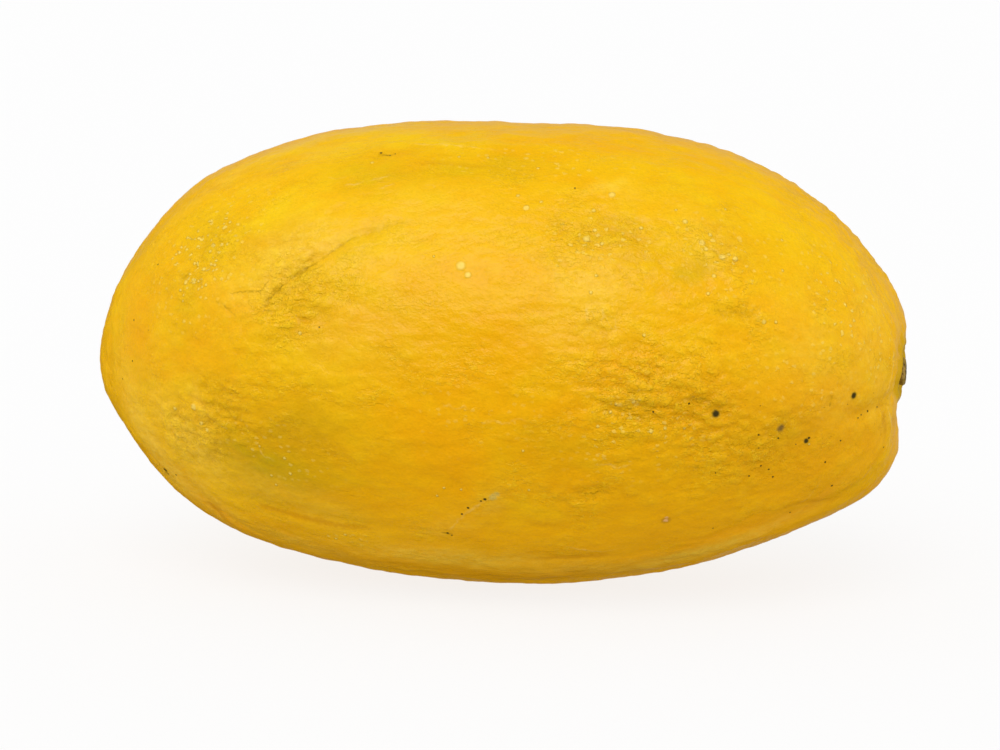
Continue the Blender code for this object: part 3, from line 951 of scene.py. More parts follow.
# %% The paths
# The pixels that it passes, strength, and width and the shares over which it fades in and out where they
# aren't those of a plain line
PATHS = {
    "crease": [
        ([(266, 304), (270, 298), (277, 291), (284, 285), (290, 280)], 0.9, 0.8, 0.1, 0.2),
        ([(284, 284), (292, 278), (303, 272), (309, 268), (316, 263), (322, 260)], 0.95, 1.5, 0.3, 0.25),
        ([(318, 262), (328, 256), (338, 248), (350, 240), (362, 235)], 0.6, 1.6, 0.1, 0.3),
        ([(356, 238), (370, 231), (384, 227), (402, 222), (424, 219)], 0.3, 2.4, 0.2, 0.5),
        ([(706, 309), (714, 310), (721, 313), (728, 317), (734, 312), (743, 313), (751, 318)],
         0.45, 1.8, 0.2, 0.2),
        ([(698, 243), (706, 251), (716, 252), (723, 260), (731, 255), (738, 263)], 0.3, 1.2, 0.2, 0.2),
        ([(600, 404), (616, 405), (633, 406), (650, 403), (664, 404)], 0.25, 1.3, 0.3, 0.3),
        ([(681, 398), (695, 399), (706, 401), (717, 407), (726, 413)], 0.5, 1.6, 0.3, 0.3),
        ([(596, 462), (612, 465), (630, 460), (648, 463)], 0.3, 1.4, 0.3, 0.3),
        ([(262, 313), (266, 310), (273, 312), (281, 309)], 0.7, 1, 0.2, 0.3),
        ([(563, 494), (575, 493), (590, 494), (606, 493), (622, 495)], 0.55, 1, 0.3, 0.4),
        ([(213, 300), (225, 307), (238, 318)], 0.5, 1, 0.2, 0.3),
        ([(179, 279), (186, 276), (190, 268)], 0.5),
        ([(378, 152), (386, 154), (394, 153)], 0.9, 1, 0.2, 0.3),
        ([(832, 395), (831, 402), (831, 408)], 0.8, 1, 0.2, 0.2),
        ([(440, 531), (448, 532), (455, 535)], 0.8),
        ([(165, 468), (166, 472), (168, 476)], 1.4, 1, 0.1, 0.2),
    ],
    "branch": [
        ([(229, 294), (242, 293), (257, 292), (262, 296)], 0.8, 1, 0.2, 0.15),
        ([(256, 293), (262, 290), (267, 283), (272, 279)], 0.6, 1, 0.15, 0.4),
        ([(262, 302), (265, 306), (270, 302)], 0.8, 1, 0.2, 0.1),
        ([(303, 273), (316, 270), (330, 262)], 0.4, 1, 0.2, 0.4),
        ([(649, 376), (648, 384), (651, 394)], 0.35, 2, 0.3, 0.3),
        ([(622, 392), (630, 396), (640, 396), (650, 391)], 0.4, 2, 0.3, 0.3),
        ([(656, 450), (670, 446), (690, 448), (710, 452)], 0.25, 2, 0.3, 0.4),
    ],
    # Pale lines: partly scratches, partly painted highlights along ridges and the rims at the stem end
    "scratch_and_ridge_light": [
        ([(344, 184), (355, 184), (366, 181)], 0.7),
        ([(370, 180), (382, 178), (393, 174)], 1, 1, 0.2, 0.4),
        ([(378, 189), (388, 187), (396, 184)], 0.7),
        ([(405, 142), (420, 144), (440, 145), (464, 146), (490, 149), (515, 152)], 0.7, 1, 0.15, 0.5),
        ([(326, 178), (336, 178), (348, 177)], 0.4),
        ([(560, 545), (576, 548), (601, 550), (625, 546)], 0.5, 1, 0.3, 0.4),
        ([(447, 531), (462, 517), (478, 505), (494, 497), (502, 494)], 0.55, 1, 0.2, 0.2),
        ([(893, 335), (893, 350), (893, 365), (892, 376), (890, 386), (887, 394), (884, 401)],
         0.9, 1, 0.3, 0.15),
        ([(887, 404), (890, 414), (891, 426), (889, 438), (884, 450), (877, 460)], 0.8, 1, 0.15, 0.5),
        ([(700, 241), (705, 248), (717, 251), (724, 258), (731, 253)], 0.6, 1, 0.2, 0.2),
        ([(603, 306), (603, 316), (602, 324)], 0.8),
        ([(615, 316), (616, 324), (615, 333)], 0.7),
        ([(587, 305), (587, 314), (589, 322)], 0.7),
        ([(664, 376), (670, 377), (677, 373)], 0.7),
        ([(614, 403), (622, 405), (630, 404)], 0.7, 1, 0.2, 0.4),
        ([(630, 400), (636, 401), (641, 405)], 1),
        ([(259, 447), (262, 454), (268, 459), (275, 461)], 0.7, 1, 0.2, 0.3),
        ([(440, 409), (448, 405), (455, 409), (463, 407), (470, 411)], 0.4),
        ([(480, 424), (492, 421), (505, 424), (518, 419), (530, 423)], 0.35),
        ([(594, 468), (606, 464), (620, 468), (634, 462)], 0.5),
        ([(822, 476), (806, 500), (788, 507)], 0.25),
    ],
    "groove": [
        ([(246, 501), (262, 506), (284, 512), (305, 518), (325, 523), (346, 527), (372, 529), (398, 531)],
         1, 1, 0.2, 0.35),
        ([(205, 499), (213, 506), (222, 515), (233, 524), (243, 529)], 1, 1, 0.15, 0.3),
        ([(516, 561), (540, 559), (564, 557), (590, 555), (615, 553), (640, 552)], 1, 1, 0.3, 0.4),
        ([(520, 520), (535, 524), (552, 526), (570, 524)], 0.6, 1, 0.3, 0.4),
        ([(774, 512), (784, 508), (793, 504), (812, 501), (832, 499), (850, 492)], 0.8, 1, 0.2, 0.4),
        ([(610, 566), (650, 562), (690, 556), (730, 546), (770, 533)], 0.5, 1, 0.3, 0.4),
        ([(800, 410), (820, 406), (840, 408), (862, 410), (880, 405), (896, 404)], 0.5, 1, 0.4, 0.1),
        ([(897, 412), (893, 420), (896, 430)], 0.5),
        ([(884, 408), (884, 420), (885, 434), (881, 446)], 0.8, 1, 0.2, 0.4),
        ([(640, 540), (680, 540), (720, 532), (760, 520)], 0.4, 1, 0.3, 0.4),
        ([(400, 165), (430, 163), (470, 165), (510, 168)], 0.5, 1, 0.3, 0.4),
    ],
}
# The same on the hidden side, where a place is x and the degrees round the fruit
HIDDEN_PATHS = {
    "crease": [
        ([(-74, 12), (-52, 20), (-26, 22), (4, 19)], 1, 1, 0.1, 0.4),
        ([(-40, 30), (-30, 25), (-18, 24)], 0.6, 1, 0.2, 0.4),
        ([(52, 44), (64, 42), (70, 47)], 0.6, 1, 0.2, 0.3),
        ([(20, -22), (31, -25), (45, -23)], 0.7),
    ],
    "branch": [],
    "scratch_and_ridge_light": [
        ([(-12, 60), (4, 62), (18, 60)], 0.8),
        ([(60, 20), (70, 22), (79, 21)], 0.7),
    ],
    "groove": [
        ([(10, -30), (38, -34), (70, -32)], 0.8, 1, 0.3, 0.4),
        ([(-90, -24), (-66, -34), (-36, -38)], 0.8, 1, 0.3, 0.4),
        ([(118, 48), (112, 50), (100, 48)], 0.8, 1, 0.1, 0.5),
    ],
}
for kind, paths in PATHS.items():
    laid = lay_paths(paths, skin_under) + lay_paths(HIDDEN_PATHS[kind], skin_at)
    keep_on_skin(kind, path_field(laid))
    print(kind, "paths:", len(laid))

# %% [markdown]
# Some marks are placed one by one: dark spots near the stem, specks, a tan chip, a small scar low on the
# front, and pale beads of wax, whose pale colour is partly a painted glint. Every mark could be a node of
# its own in the material, but a hundred of them is more than it can hold. So each point stores its offset
# from the middle of its nearest mark, and one node group draws all of a kind. Marks that lie close together
# go into separate sets, and a mark's radius is stored only near it, so that nothing is drawn where two marks
# are equally far.

# %% Marks placed one by one
# Pixel and radius in pixels
DARK_MARKS = [
    (716, 414, 3.3), (855, 396, 3), (806, 441, 2.3), (809, 438, 1.2), (165.5, 470, 2.2), (168, 474, 1.6),
    (690, 404, 1), (653, 412, 0.9), (758, 434, 0.9), (778, 438, 0.9), (761, 466, 1), (769, 470, 0.9),
    (773, 477, 1), (749, 476, 0.8), (825, 462, 1), (841, 441, 0.9), (868, 411, 1), (862, 415, 0.8),
    (859, 418, 0.8), (877, 407, 0.9), (832, 486, 1.1), (883, 447, 0.9), (176, 475, 1.1), (575, 188, 0.8),
    (485, 499, 1.5), (481, 501, 1), (468, 508, 1.2), (462, 514, 1.1), (448, 532, 1.1), (452, 534, 0.9),
    (716, 474, 0.7), (790, 512, 0.9), (796, 540, 0.8), (713, 528, 0.8), (122, 379, 0.9), (133, 361, 0.8),
    (159, 265, 0.9), (134, 320, 0.8), (381, 152, 1.2), (390, 155, 1), (395, 153, 0.8), (319, 327, 0.7),
]
# Pale wax beads, painted partly as glints of light on their tops
BEAD_GLINT_MARKS = [
    (208, 220, 1.1), (217, 226, 1), (229, 221, 1.2), (223, 222, 1), (197, 230, 1.1), (206, 233, 1),
    (198, 237, 1.5), (187, 237, 1.2), (194, 238, 1), (209, 239, 1.1), (212, 243, 1), (226, 243, 1.2),
    (181, 247, 1.2), (179, 252, 1.3), (210, 251, 1.2), (176, 254, 1), (173, 259, 1.3), (194, 263, 1.2),
    (204, 269, 1.7), (216, 260, 1.1), (214, 265, 1.2), (213, 270, 1.1), (185, 282, 1.9), (195, 280, 1.1),
    (198, 281, 1), (206, 285, 1.2), (202, 287, 1.1), (180, 290, 1.1), (183, 295, 1), (182, 301, 0.9),
    (259, 447, 0.9), (284, 459, 1.2), (290, 474, 1.3), (271, 476, 1), (276, 485, 1), (222, 426, 0.8),
    (194, 407, 2.6), (201, 423, 1.5), (207, 430, 1.5), (174, 410, 1.4), (336, 539, 1.2), (345, 535, 1.2),
    (676, 210, 1), (685, 222, 1.8), (725, 210, 1), (641, 227, 1.4), (710, 235, 1.5), (702, 243, 2.3),
    (706, 249, 1.5), (722, 257, 2.2), (735, 259, 2), (714, 276, 1.6), (782, 240, 1), (783, 270, 1),
    (831, 262, 1.2), (764, 322, 1.5), (776, 322, 1.1), (708, 294, 1.3), (372, 162, 1.3), (459, 156, 1),
    (488, 157, 1), (538, 168, 1.1), (526, 207, 2.2), (541, 201, 1.2), (518, 195, 1.3), (594, 210, 1.4),
    (612, 195, 2.4), (587, 237, 2.4), (595, 229, 1.4), (602, 243, 1.4), (461, 266, 3.4), (468, 275, 2.4),
    (434, 257, 0.9), (591, 293, 1.2), (633, 401, 1.3), (616, 404, 1), (610, 412, 1.2), (665, 428, 1.2),
    (651, 431, 1.5), (685, 429, 1), (598, 427, 1.2), (300, 333, 1.3), (809, 444, 0.8), (644, 335, 1.2),
    (523, 451, 0.9), (444, 488, 0.9), (461, 490, 0.9), (437, 496, 0.9), (529, 490, 0.9), (596, 276, 1.2),
]
PALE_SPREAD = 1.25
MARK_REACH = 2.6
MARK_SETS = 3
# On the hidden side: how many, the ranges of x, degrees and radius in mm; the pale ones gather in one
# place, so the middle and the spread of x and degrees are given for them
HIDDEN_DARK = (16, (-105.0, 110.0), (-60.0, 75.0), (0.25, 0.9))
HIDDEN_PALE = (24, (-70.0, 11.0), (45.0, 11.0), (0.3, 0.6))
fine_tree = BVHTree.FromPolygons(fine_points.tolist(), skin_faces.tolist())


def scatter_marks(draw, count, along, round_it, radii):
    """Marks on the hidden side as (x, degrees, radius), with their places drawn in one of two ways."""
    return [(draw(*along), draw(*round_it), hidden_random.uniform(*radii)) for number in range(count)]


def on_surface(spot):
    """The point of the finished surface next to a spot of the skin."""
    return np.array(fine_tree.find_nearest(Vector(spot[0]))[0])


def lay_marks(seen, hidden, spread=1.0):
    """Marks as (middle, radius in mm), from those at pixels and those on the hidden side."""
    laid = [(on_surface(skin_under(across, down)), radius * spread * MM_PER_PIXEL)
            for across, down, radius in seen]
    return laid + [(on_surface(skin_at(x, degrees)), radius) for x, degrees, radius in hidden]


def keep_marks(name, marks):
    """Store each point's offset from its nearest mark, and that mark's radius near it, in a few sets."""
    sets = [[] for number in range(MARK_SETS)]
    for centre, radius in marks:
        gaps = [min([np.linalg.norm(centre - other) for other, size in members], default=math.inf)
                for members in sets]
        sets[int(np.argmax(gaps))].append((centre, radius))
    for number, members in enumerate(sets):
        offsets = np.zeros((len(fine_points), 3))
        radii = np.zeros(len(fine_points))
        nearest = np.full(len(fine_points), math.inf)
        for centre, radius in members:
            offset = fine_points - centre
            distance = np.linalg.norm(offset, axis=1)
            closer = distance < nearest
            offsets[closer] = offset[closer]
            radii[closer] = np.where(distance[closer] < MARK_REACH, radius, 0.0)
            nearest[closer] = distance[closer]
        keep_on_skin(f"{name}_offset_{number}", offsets)
        keep_on_skin(f"{name}_radius_{number}", radii)
    print(name, "marks:", [len(members) for members in sets])


hidden_dark = scatter_marks(hidden_random.uniform, *HIDDEN_DARK)
hidden_pale = scatter_marks(hidden_random.gauss, *HIDDEN_PALE)
keep_marks("dark", lay_marks(DARK_MARKS, hidden_dark))
keep_marks("pale", lay_marks(BEAD_GLINT_MARKS, hidden_pale, PALE_SPREAD))

# %% [markdown]
# The material is built from small node groups, each one effect with named inputs, so the rind and the
# stalk can share them. The first gives stretched noise, the second scatters small dots, and the third
# turns noise into hairlines. The fourth gives crinkles, which are domes with creased valleys between
# them, the fifth draws a stored path, and two more draw round marks.

# %% Helpers for groups
def start_group(name, vectors, numbers, outputs):
    """A shader group whose sockets are named; gives its tree, its inputs and its output sockets."""
    tree = bpy.data.node_groups.new(name, "ShaderNodeTree")
    for labels, direction, kind in ((vectors, "INPUT", "Vector"), (numbers, "INPUT", "Float"),
                                    (outputs, "OUTPUT", "Float")):
        for label in labels:
            tree.interface.new_socket(label, in_out=direction, socket_type="NodeSocket" + kind)
    return tree, tree.nodes.new("NodeGroupInput").outputs, tree.nodes.new("NodeGroupOutput").inputs


def use_group(group, **values):
    """Place a group with its own values, and give its outputs."""
    return add_node(tree_of(values.values()), "Group", values, node_tree=group).outputs


def times(value, factor):
    """The product of two sockets, or of a socket and a number."""
    return compute("MULTIPLY", value, factor)


def times_plus(value, factor, added, clamp=False):
    """A product with a third value added."""
    return compute("MULTIPLY_ADD", value, factor, added, clamp=clamp)


print("groups can be started")

# %% Stretched noise
NOISE_SPREAD = 4.0

stretched_noise, given, result = start_group(
    "stretched_noise", ("Place", "Size"), ("Detail",), ("Value",))
scaled_place = compute_vector("DIVIDE", given["Place"], given["Size"])
speckle = add_node(stretched_noise, "TexNoise",
                   {"Vector": scaled_place, "Scale": 1.0, "Detail": given["Detail"]})
feed(result["Value"], times(compute("SUBTRACT", speckle.outputs[0], 0.5), NOISE_SPREAD))
print(stretched_noise.name, "has", len(stretched_noise.nodes), "nodes")

# %% Scattered dots
DOT_EDGE = 0.55

scattered_dots, given, result = start_group(
    "scattered_dots", ("Place", "Cell"), ("Radius", "Share"), ("Mask",))
scaled_place = compute_vector("DIVIDE", given["Place"], given["Cell"])
cells = add_node(scattered_dots, "TexVoronoi", {"Vector": scaled_place, "Scale": 1.0}).outputs
chance = add_node(scattered_dots, "SeparateColor", {0: cells["Color"]}).outputs[0]
dot = soft_range(cells["Distance"], given["Radius"], times(given["Radius"], DOT_EDGE))
feed(result["Mask"], times(dot, compute("LESS_THAN", chance, given["Share"])))
print(scattered_dots.name, "has", len(scattered_dots.nodes), "nodes")

# %% Hairlines
hairlines, given, result = start_group("hairlines", ("Place", "Size"), ("Thickness",), ("Mask",))
level = use_group(stretched_noise, Place=given["Place"], Size=given["Size"], Detail=1.0)["Value"]
feed(result["Mask"], soft_range(compute("ABSOLUTE", level), given["Thickness"], 0.0))
print(hairlines.name, "has", len(hairlines.nodes), "nodes")

# %% Crinkles
DOME_SHOULDER = 0.4

crinkles, given, result = start_group("crinkles", ("Place", "Size"), ("Thickness",), ("Valley", "Dome"))
scaled_place = compute_vector("DIVIDE", given["Place"], given["Size"])
cells = add_node(crinkles, "TexVoronoi", {"Vector": scaled_place, "Scale": 1.0},
                 feature="DISTANCE_TO_EDGE").outputs
feed(result["Valley"], soft_range(cells["Distance"], given["Thickness"], 0.0))
feed(result["Dome"], soft_range(cells["Distance"], 0.0, DOME_SHOULDER))
print(crinkles.name, "has", len(crinkles.nodes), "nodes")

# %% A drawn line
THINNEST_LINE = 0.01

drawn_line, given, result = start_group("drawn_line", ("Path",), ("Wobble", "Width"), ("Line",))
path = add_node(drawn_line, "SeparateXYZ", {0: given["Path"]}).outputs
line_width = compute("MAXIMUM", times(given["Width"], path["Z"]), THINNEST_LINE)
half_widths = compute("DIVIDE", compute("ADD", path["X"], given["Wobble"]), line_width)
bell = compute("POWER", math.e, times(times(half_widths, half_widths), -1.0))
feed(result["Line"], times(bell, path["Y"]))
print(drawn_line.name, "has", len(drawn_line.nodes), "nodes")

# %% A round mark
round_mark, given, result = start_group("round_mark", ("Place", "Centre"), ("Radius", "Edge"), ("Mask",))
apart = compute_vector("DISTANCE", given["Place"], given["Centre"], output="Value")
outer = compute("ADD", given["Radius"], given["Edge"])
feed(result["Mask"], soft_range(apart, outer, compute("SUBTRACT", given["Radius"], given["Edge"])))
print(round_mark.name, "has", len(round_mark.nodes), "nodes")

# %% Stored marks
MARK_EDGE = 0.40
SMALLEST_MARK = 0.1

stored_mark, given, result = start_group("stored_mark", ("Offset", "Ragged"), ("Radius",), ("Mask",))
ragged_offset = compute_vector("ADD", given["Offset"], given["Ragged"])
apart = compute_vector("LENGTH", ragged_offset, output="Value")
disc = soft_range(apart, times(given["Radius"], 1.0 + MARK_EDGE), times(given["Radius"], 1.0 - MARK_EDGE))
feed(result["Mask"], times(disc, compute("GREATER_THAN", given["Radius"], SMALLEST_MARK)))
print(stored_mark.name, "has", len(stored_mark.nodes), "nodes")

# %% [markdown]
# The rind's colour starts from a golden yellow. The stored tints shift it, broad noise breaks their
# edges, and clouds and curls of finer noise make it uneven. High places are painted paler as a highlight
# and low ones darker as shade. Sizes in the material are millimetres, as on the mesh.

# %% Rind: places and noises
GOLD = (0.91, 0.480, 0.0004, 1.0)
LEMON_AND_SHEEN = (0.93, 0.590, 0.003, 1.0)
ORANGE = (0.94, 0.415, 0.0001, 1.0)
GREEN = (0.54, 0.380, 0.001, 1.0)
# The pale colour of the wax bloom and of painted sheen and lighter rims
BLOOM_AND_SHEEN = (0.97, 0.620, 0.060, 1.0)
# A deeper gold, used for a deeper tone of the rind and for painted shade
DEEP_AND_SHADE = (0.68, 0.300, 0.0002, 1.0)
# The darker gold of painted shade in low places
LOW_SHADE = (0.50, 0.215, 0.0002, 1.0)
RAGGED_SCALE = 1.1
RAGGED_REACH = 1.1

rind, rind_shader = new_finish("ripe_rind", {"Specular IOR Level": 0.08})
tree = rind.node_tree


def stored_on_skin(name, output="Fac", tree=tree):
    """A field that was stored on the mesh, as a number or as a vector."""
    return add_node(tree, "Attribute", {}, attribute_name=name).outputs[output]


def place_in_mm(tree):
    """Places on the object for a material, in mm."""
    return compute_vector("MULTIPLY", add_node(tree, "TexCoord", {}).outputs["Object"], (1.0 / MM,) * 3)


def noise_at(place, size, detail):
    """Stretched noise at a place, with its grain in mm along, across and up."""
    return use_group(stretched_noise, Place=place, Size=size, Detail=detail)["Value"]


def ragged(reach):
    """Places that noise has pushed about by up to about half a reach, so that edges come out ragged."""
    return compute_vector("MULTIPLY_ADD", ragged_shift, (reach,) * 3, place)


place = place_in_mm(tree)
ragged_noise = add_node(tree, "TexNoise", {"Vector": place, "Scale": RAGGED_SCALE, "Detail": 1.0})
ragged_shift = compute_vector("SUBTRACT", ragged_noise.outputs["Color"], (0.5,) * 3)
ragged_place = ragged(RAGGED_REACH)
blotches = stored_on_skin("blotches")
clouds = stored_on_skin("clouds")
patchy = stored_on_skin("patchy")
rough_here = stored_on_skin("rough")
curls = noise_at(ragged_place, (2.5, 1.6, 1.6), 2.0)
grain = noise_at(place, (0.9, 0.6, 0.6), 0.0)
print("rind material started")

# %% Rind: the tints
UNDERSIDE_SHADE = 0.62
DEEP_AND_SHADE_STRENGTH = 0.6
GREEN_STRENGTH = 0.75
BLOOM_AND_SHEEN_STRENGTH = 0.5
EDGE_NOISE = 0.35


def tint_share(name, blotch_weight, cloud_weight):
    """A stored tint with broad and finer noise added to it, held between 0 and 1."""
    share = times_plus(blotches, blotch_weight, stored_on_skin(name))
    return times_plus(clouds, cloud_weight, share, clamp=True)


def lay_over(colour, *layers):
    """Lay tones over a colour, each as (tone, mask, strength); their product is held between 0 and 1."""
    for tone, mask, strength in layers:
        colour = blend(compute("MULTIPLY", mask, strength, clamp=True), colour, tone)
    return colour


# The lemon tint, which also paints sheen and lighter rims
colour = blend(tint_share("lemon_and_sheen", 0.14, 0.20), GOLD, LEMON_AND_SHEEN)
orange_share = tint_share("orange", -0.14, -0.20)
colour = lay_over(
    colour,
    # Painted shade: the rind turns deeper orange towards the bottom
    (ORANGE, times_plus(stored_on_skin("underside_shade"), UNDERSIDE_SHADE, orange_share, clamp=True), 1.0),
    # Deeper patches, partly painted shade low on the belly and at the floor
    (DEEP_AND_SHADE, tint_share("deep_and_shade", 0.0, -0.10), DEEP_AND_SHADE_STRENGTH),
    (GREEN, stored_on_skin("green"), times_plus(clouds, EDGE_NOISE, GREEN_STRENGTH)),
    # Wax bloom and painted sheen
    (BLOOM_AND_SHEEN, stored_on_skin("bloom_and_sheen"), times_plus(curls, EDGE_NOISE, BLOOM_AND_SHEEN_STRENGTH)))
print("tints mixed with", len(tree.nodes), "nodes so far")

# %% Rind: high and low places
CURL_QUIET = 0.22
CURL_ROUGH = 0.3
CURL_PATCHES = 0.40
RAISED_WEIGHT = 0.40
CURLED_WEIGHT = 0.5
VALLEY_BROWN = (0.60, 0.240, 0.0002, 1.0)
# The pale gold of painted highlights on high places, dome tops and hairline ridges
HIGHLIGHT_GOLD = (0.98, 0.620, 0.014, 1.0)
CRINKLE_SIZES = (5.0, 3.8, 3.8)
CRINKLE_THICKNESS = 0.17
CRINKLE_RAGGED = 1.8
CRINKLE_PATCHES = 0.14

curl_share = times_plus(patchy, CURL_PATCHES, times_plus(rough_here, CURL_ROUGH, CURL_QUIET))
curled = times(curls, curl_share)
high = times_plus(stored_on_skin("raised"), RAISED_WEIGHT, times(curled, CURLED_WEIGHT))
crinkle_share = times_plus(patchy, CRINKLE_PATCHES, rough_here, clamp=True)
crinkled = use_group(crinkles, Place=ragged(CRINKLE_RAGGED), Size=CRINKLE_SIZES,
                     Thickness=CRINKLE_THICKNESS)
valleys = times(crinkled["Valley"], times(soft_range(clouds, -0.5, 0.5), crinkle_share))
domes = times(crinkled["Dome"], crinkle_share)
# Painted highlight on high places and dome tops, painted shade in low places
colour = lay_over(colour, (HIGHLIGHT_GOLD, high, 0.34), (LOW_SHADE, high, -0.20), (VALLEY_BROWN, valleys, 0.38),
                  (HIGHLIGHT_GOLD, domes, 0.30))
print("high and low places coloured")

# %% Rind: hairlines, dots and specks
# The pale colour of wax beads and of painted glints
BEAD_AND_GLINT = (1.0, 0.74, 0.15, 1.0)
SPECK = (0.16, 0.07, 0.012, 1.0)
GRAIN_TONE = 0.03
SPECKS_ANYWHERE = 0.12

ridges = use_group(hairlines, Place=ragged_place, Size=(4.2, 1.7, 1.7), Thickness=0.16)["Mask"]
ridges = times(ridges, soft_range(compute("ADD", patchy, rough_here), 0.05, 0.95))
# The hairline ridges are painted paler along their crests, a painted highlight
colour = lay_over(colour, (HIGHLIGHT_GOLD, ridges, 0.5))
grain_tone = times_plus(grain, GRAIN_TONE, 1.0)
colour = add_node(tree, "VectorMath", {0: colour, "Scale": grain_tone}, operation="SCALE").outputs[0]

beads_and_glints = use_group(scattered_dots, Place=ragged_place, Cell=(2.5, 1.8, 1.8), Radius=0.36, Share=0.5)
beads_and_glints = times(beads_and_glints["Mask"], compute("MINIMUM", stored_on_skin("beads_and_glints"), 1.0))
specks = use_group(scattered_dots, Place=place, Cell=(3.4, 3.4, 3.4), Radius=0.085, Share=0.30)
specks = times(specks["Mask"], compute("ADD", stored_on_skin("specks"), SPECKS_ANYWHERE))
# Wax beads coloured pale, partly as painted glints
colour = lay_over(colour, (BEAD_AND_GLINT, beads_and_glints, 0.9), (SPECK, specks, 0.8))
print("dots and specks ready")

# %% Rind: creases, scratches and grooves
CREASE_BROWN = (0.40, 0.210, 0.0008, 1.0)
GROOVE_BROWN = (0.62, 0.26, 0.0003, 1.0)
SCRATCH_AND_HIGHLIGHT_PALE = (1.0, 0.70, 0.20, 1.0)
WOBBLE = 0.45
BROKEN_BY_CURLS = 0.55
UNBROKEN_SHARE = 0.62

wobble = times(noise_at(place, (1.7, 1.7, 1.7), 1.0), WOBBLE)
broken = times_plus(curls, BROKEN_BY_CURLS, UNBROKEN_SHARE, clamp=True)


def drawn(kind, width):
    """The stored paths of one kind, as lines of a width in mm."""
    return use_group(drawn_line, Path=stored_on_skin(kind, "Vector"), Wobble=wobble, Width=width)["Line"]


# A wide soft green tint along each crease is painted shade in the fold
crease_fold_shade = drawn("crease", 1.2)
groove_line = drawn("groove", 1.1)
dark_lines = times(compute("MAXIMUM", drawn("crease", 0.32), drawn("branch", 0.24)), broken)
# Pale lines are scratches and painted highlights along ridges and rims
scratch_and_highlight_lines = times(drawn("scratch_and_ridge_light", 0.34), broken)
colour = lay_over(colour, (GROOVE_BROWN, groove_line, 0.55), (GREEN, crease_fold_shade, 0.10),
                  (CREASE_BROWN, dark_lines, 0.9), (SCRATCH_AND_HIGHLIGHT_PALE, scratch_and_highlight_lines, 0.55))
print("lines drawn,", len(tree.nodes), "nodes so far")

# %% Rind: the marks
SPOT_BLACK = (0.030, 0.028, 0.008, 1.0)
SPOT_RING = (0.42, 0.27, 0.006, 1.0)
SPOT_GREY = (0.110, 0.072, 0.026, 1.0)
CHIP_TAN = (0.86, 0.46, 0.17, 1.0)
CHIP_RIM = (0.42, 0.20, 0.012, 1.0)
SCAR_PALE = (0.62, 0.47, 0.10, 1.0)
SMALL_RAGGED_REACH = 0.15

small_ragged = compute_vector("MULTIPLY", ragged_shift, (SMALL_RAGGED_REACH,) * 3)


def strongest(masks):
    """The strongest of several masks."""
    found = masks[0]
    for mask in masks[1:]:
        found = compute("MAXIMUM", mask, found)
    return found


def all_marks(name):
    """All marks of one kind, from their stored sets."""
    masks = []
    for number in range(MARK_SETS):
        offset = stored_on_skin(f"{name}_offset_{number}", "Vector")
        radius = stored_on_skin(f"{name}_radius_{number}")
        masks.append(use_group(stored_mark, Offset=offset, Radius=radius, Ragged=small_ragged)["Mask"])
    return strongest(masks)


def marks_at(edge, *marks):
    """A few marks with a soft edge, each given by a pixel and a radius in mm."""
    masks = []
    for across, down, radius in marks:
        centre = tuple(on_surface(skin_under(across, down)))
        masks.append(use_group(round_mark, Place=ragged_place, Centre=centre, Radius=radius,
                               Edge=edge)["Mask"])
    return strongest(masks)


dark_marks = all_marks("dark")
bead_glint_marks = all_marks("pale")
scar_pale = marks_at(0.4, (493, 497, 1.1), (497, 494, 0.8))
chip_rim = marks_at(0.5, (666, 521, 1.4))
chips = marks_at(0.2, (666, 521, 0.75), (667, 518, 0.5))
spot_rings = marks_at(0.6, (716, 414, 1.4), (855, 396, 1.3), (807, 441, 1.1))
grey_spots = marks_at(0.8, (780, 428, 0.95), (781, 427.5, 0.8))
colour = lay_over(colour, (SCAR_PALE, scar_pale, 0.7), (CHIP_RIM, chip_rim, 0.55), (CHIP_TAN, chips, 0.9),
                  (SPOT_RING, spot_rings, 0.5), (SPOT_GREY, grey_spots, 0.85),
                  # Pale wax beads, partly painted glints
                  (SPOT_BLACK, dark_marks, 0.95), (BEAD_AND_GLINT, bead_glint_marks, 0.68))
print("marks coloured")

# %% Rind: the stem hollow and the flower's scar
COLLAR_OLIVE = (0.50, 0.33, 0.010, 1.0)
SCAR_BROWN = (0.13, 0.065, 0.012, 1.0)

scar_share = times(stored_on_skin("near_scar"), times_plus(curls, 0.4, 1.1))
colour = lay_over(colour, (COLLAR_OLIVE, stored_on_skin("near_stem"), 0.7), (SCAR_BROWN, scar_share, 0.95))
print("ends coloured")

# %% Rind: bump and gloss
# Heights in mm
BUMP_HEIGHTS = ((curled, 0.25), (domes, 0.60), (ridges, 0.11), (beads_and_glints, 0.26), (bead_glint_marks, 0.30),
                (dark_lines, -0.24), (crease_fold_shade, -0.26), (scratch_and_highlight_lines, 0.14), (groove_line, -0.12),
                (dark_marks, -0.12), (chips, 0.08), (scar_pale, 0.06))
GRAIN_HEIGHT = 0.017
PLAIN_ROUGHNESS = 0.31
CLOUD_ROUGHNESS = 0.03
ROUGH_ROUGHNESS = 0.06

height = times(grain, GRAIN_HEIGHT)
for part, amount in BUMP_HEIGHTS:
    height = times_plus(part, amount, height)
gloss = times_plus(clouds, CLOUD_ROUGHNESS, PLAIN_ROUGHNESS)
gloss = times_plus(rough_here, ROUGH_ROUGHNESS, gloss)


def add_bump(tree, height):
    """A bump from heights in mm."""
    return add_node(tree, "Bump", {"Height": height, "Distance": MM, "Strength": 1.0}).outputs["Normal"]


feed(rind_shader.inputs["Base Color"], colour)
feed(rind_shader.inputs["Roughness"], gloss)
feed(rind_shader.inputs["Normal"], add_bump(tree, height))
skin_mesh.materials.append(rind)
print("rind material:", len(tree.nodes), "nodes")

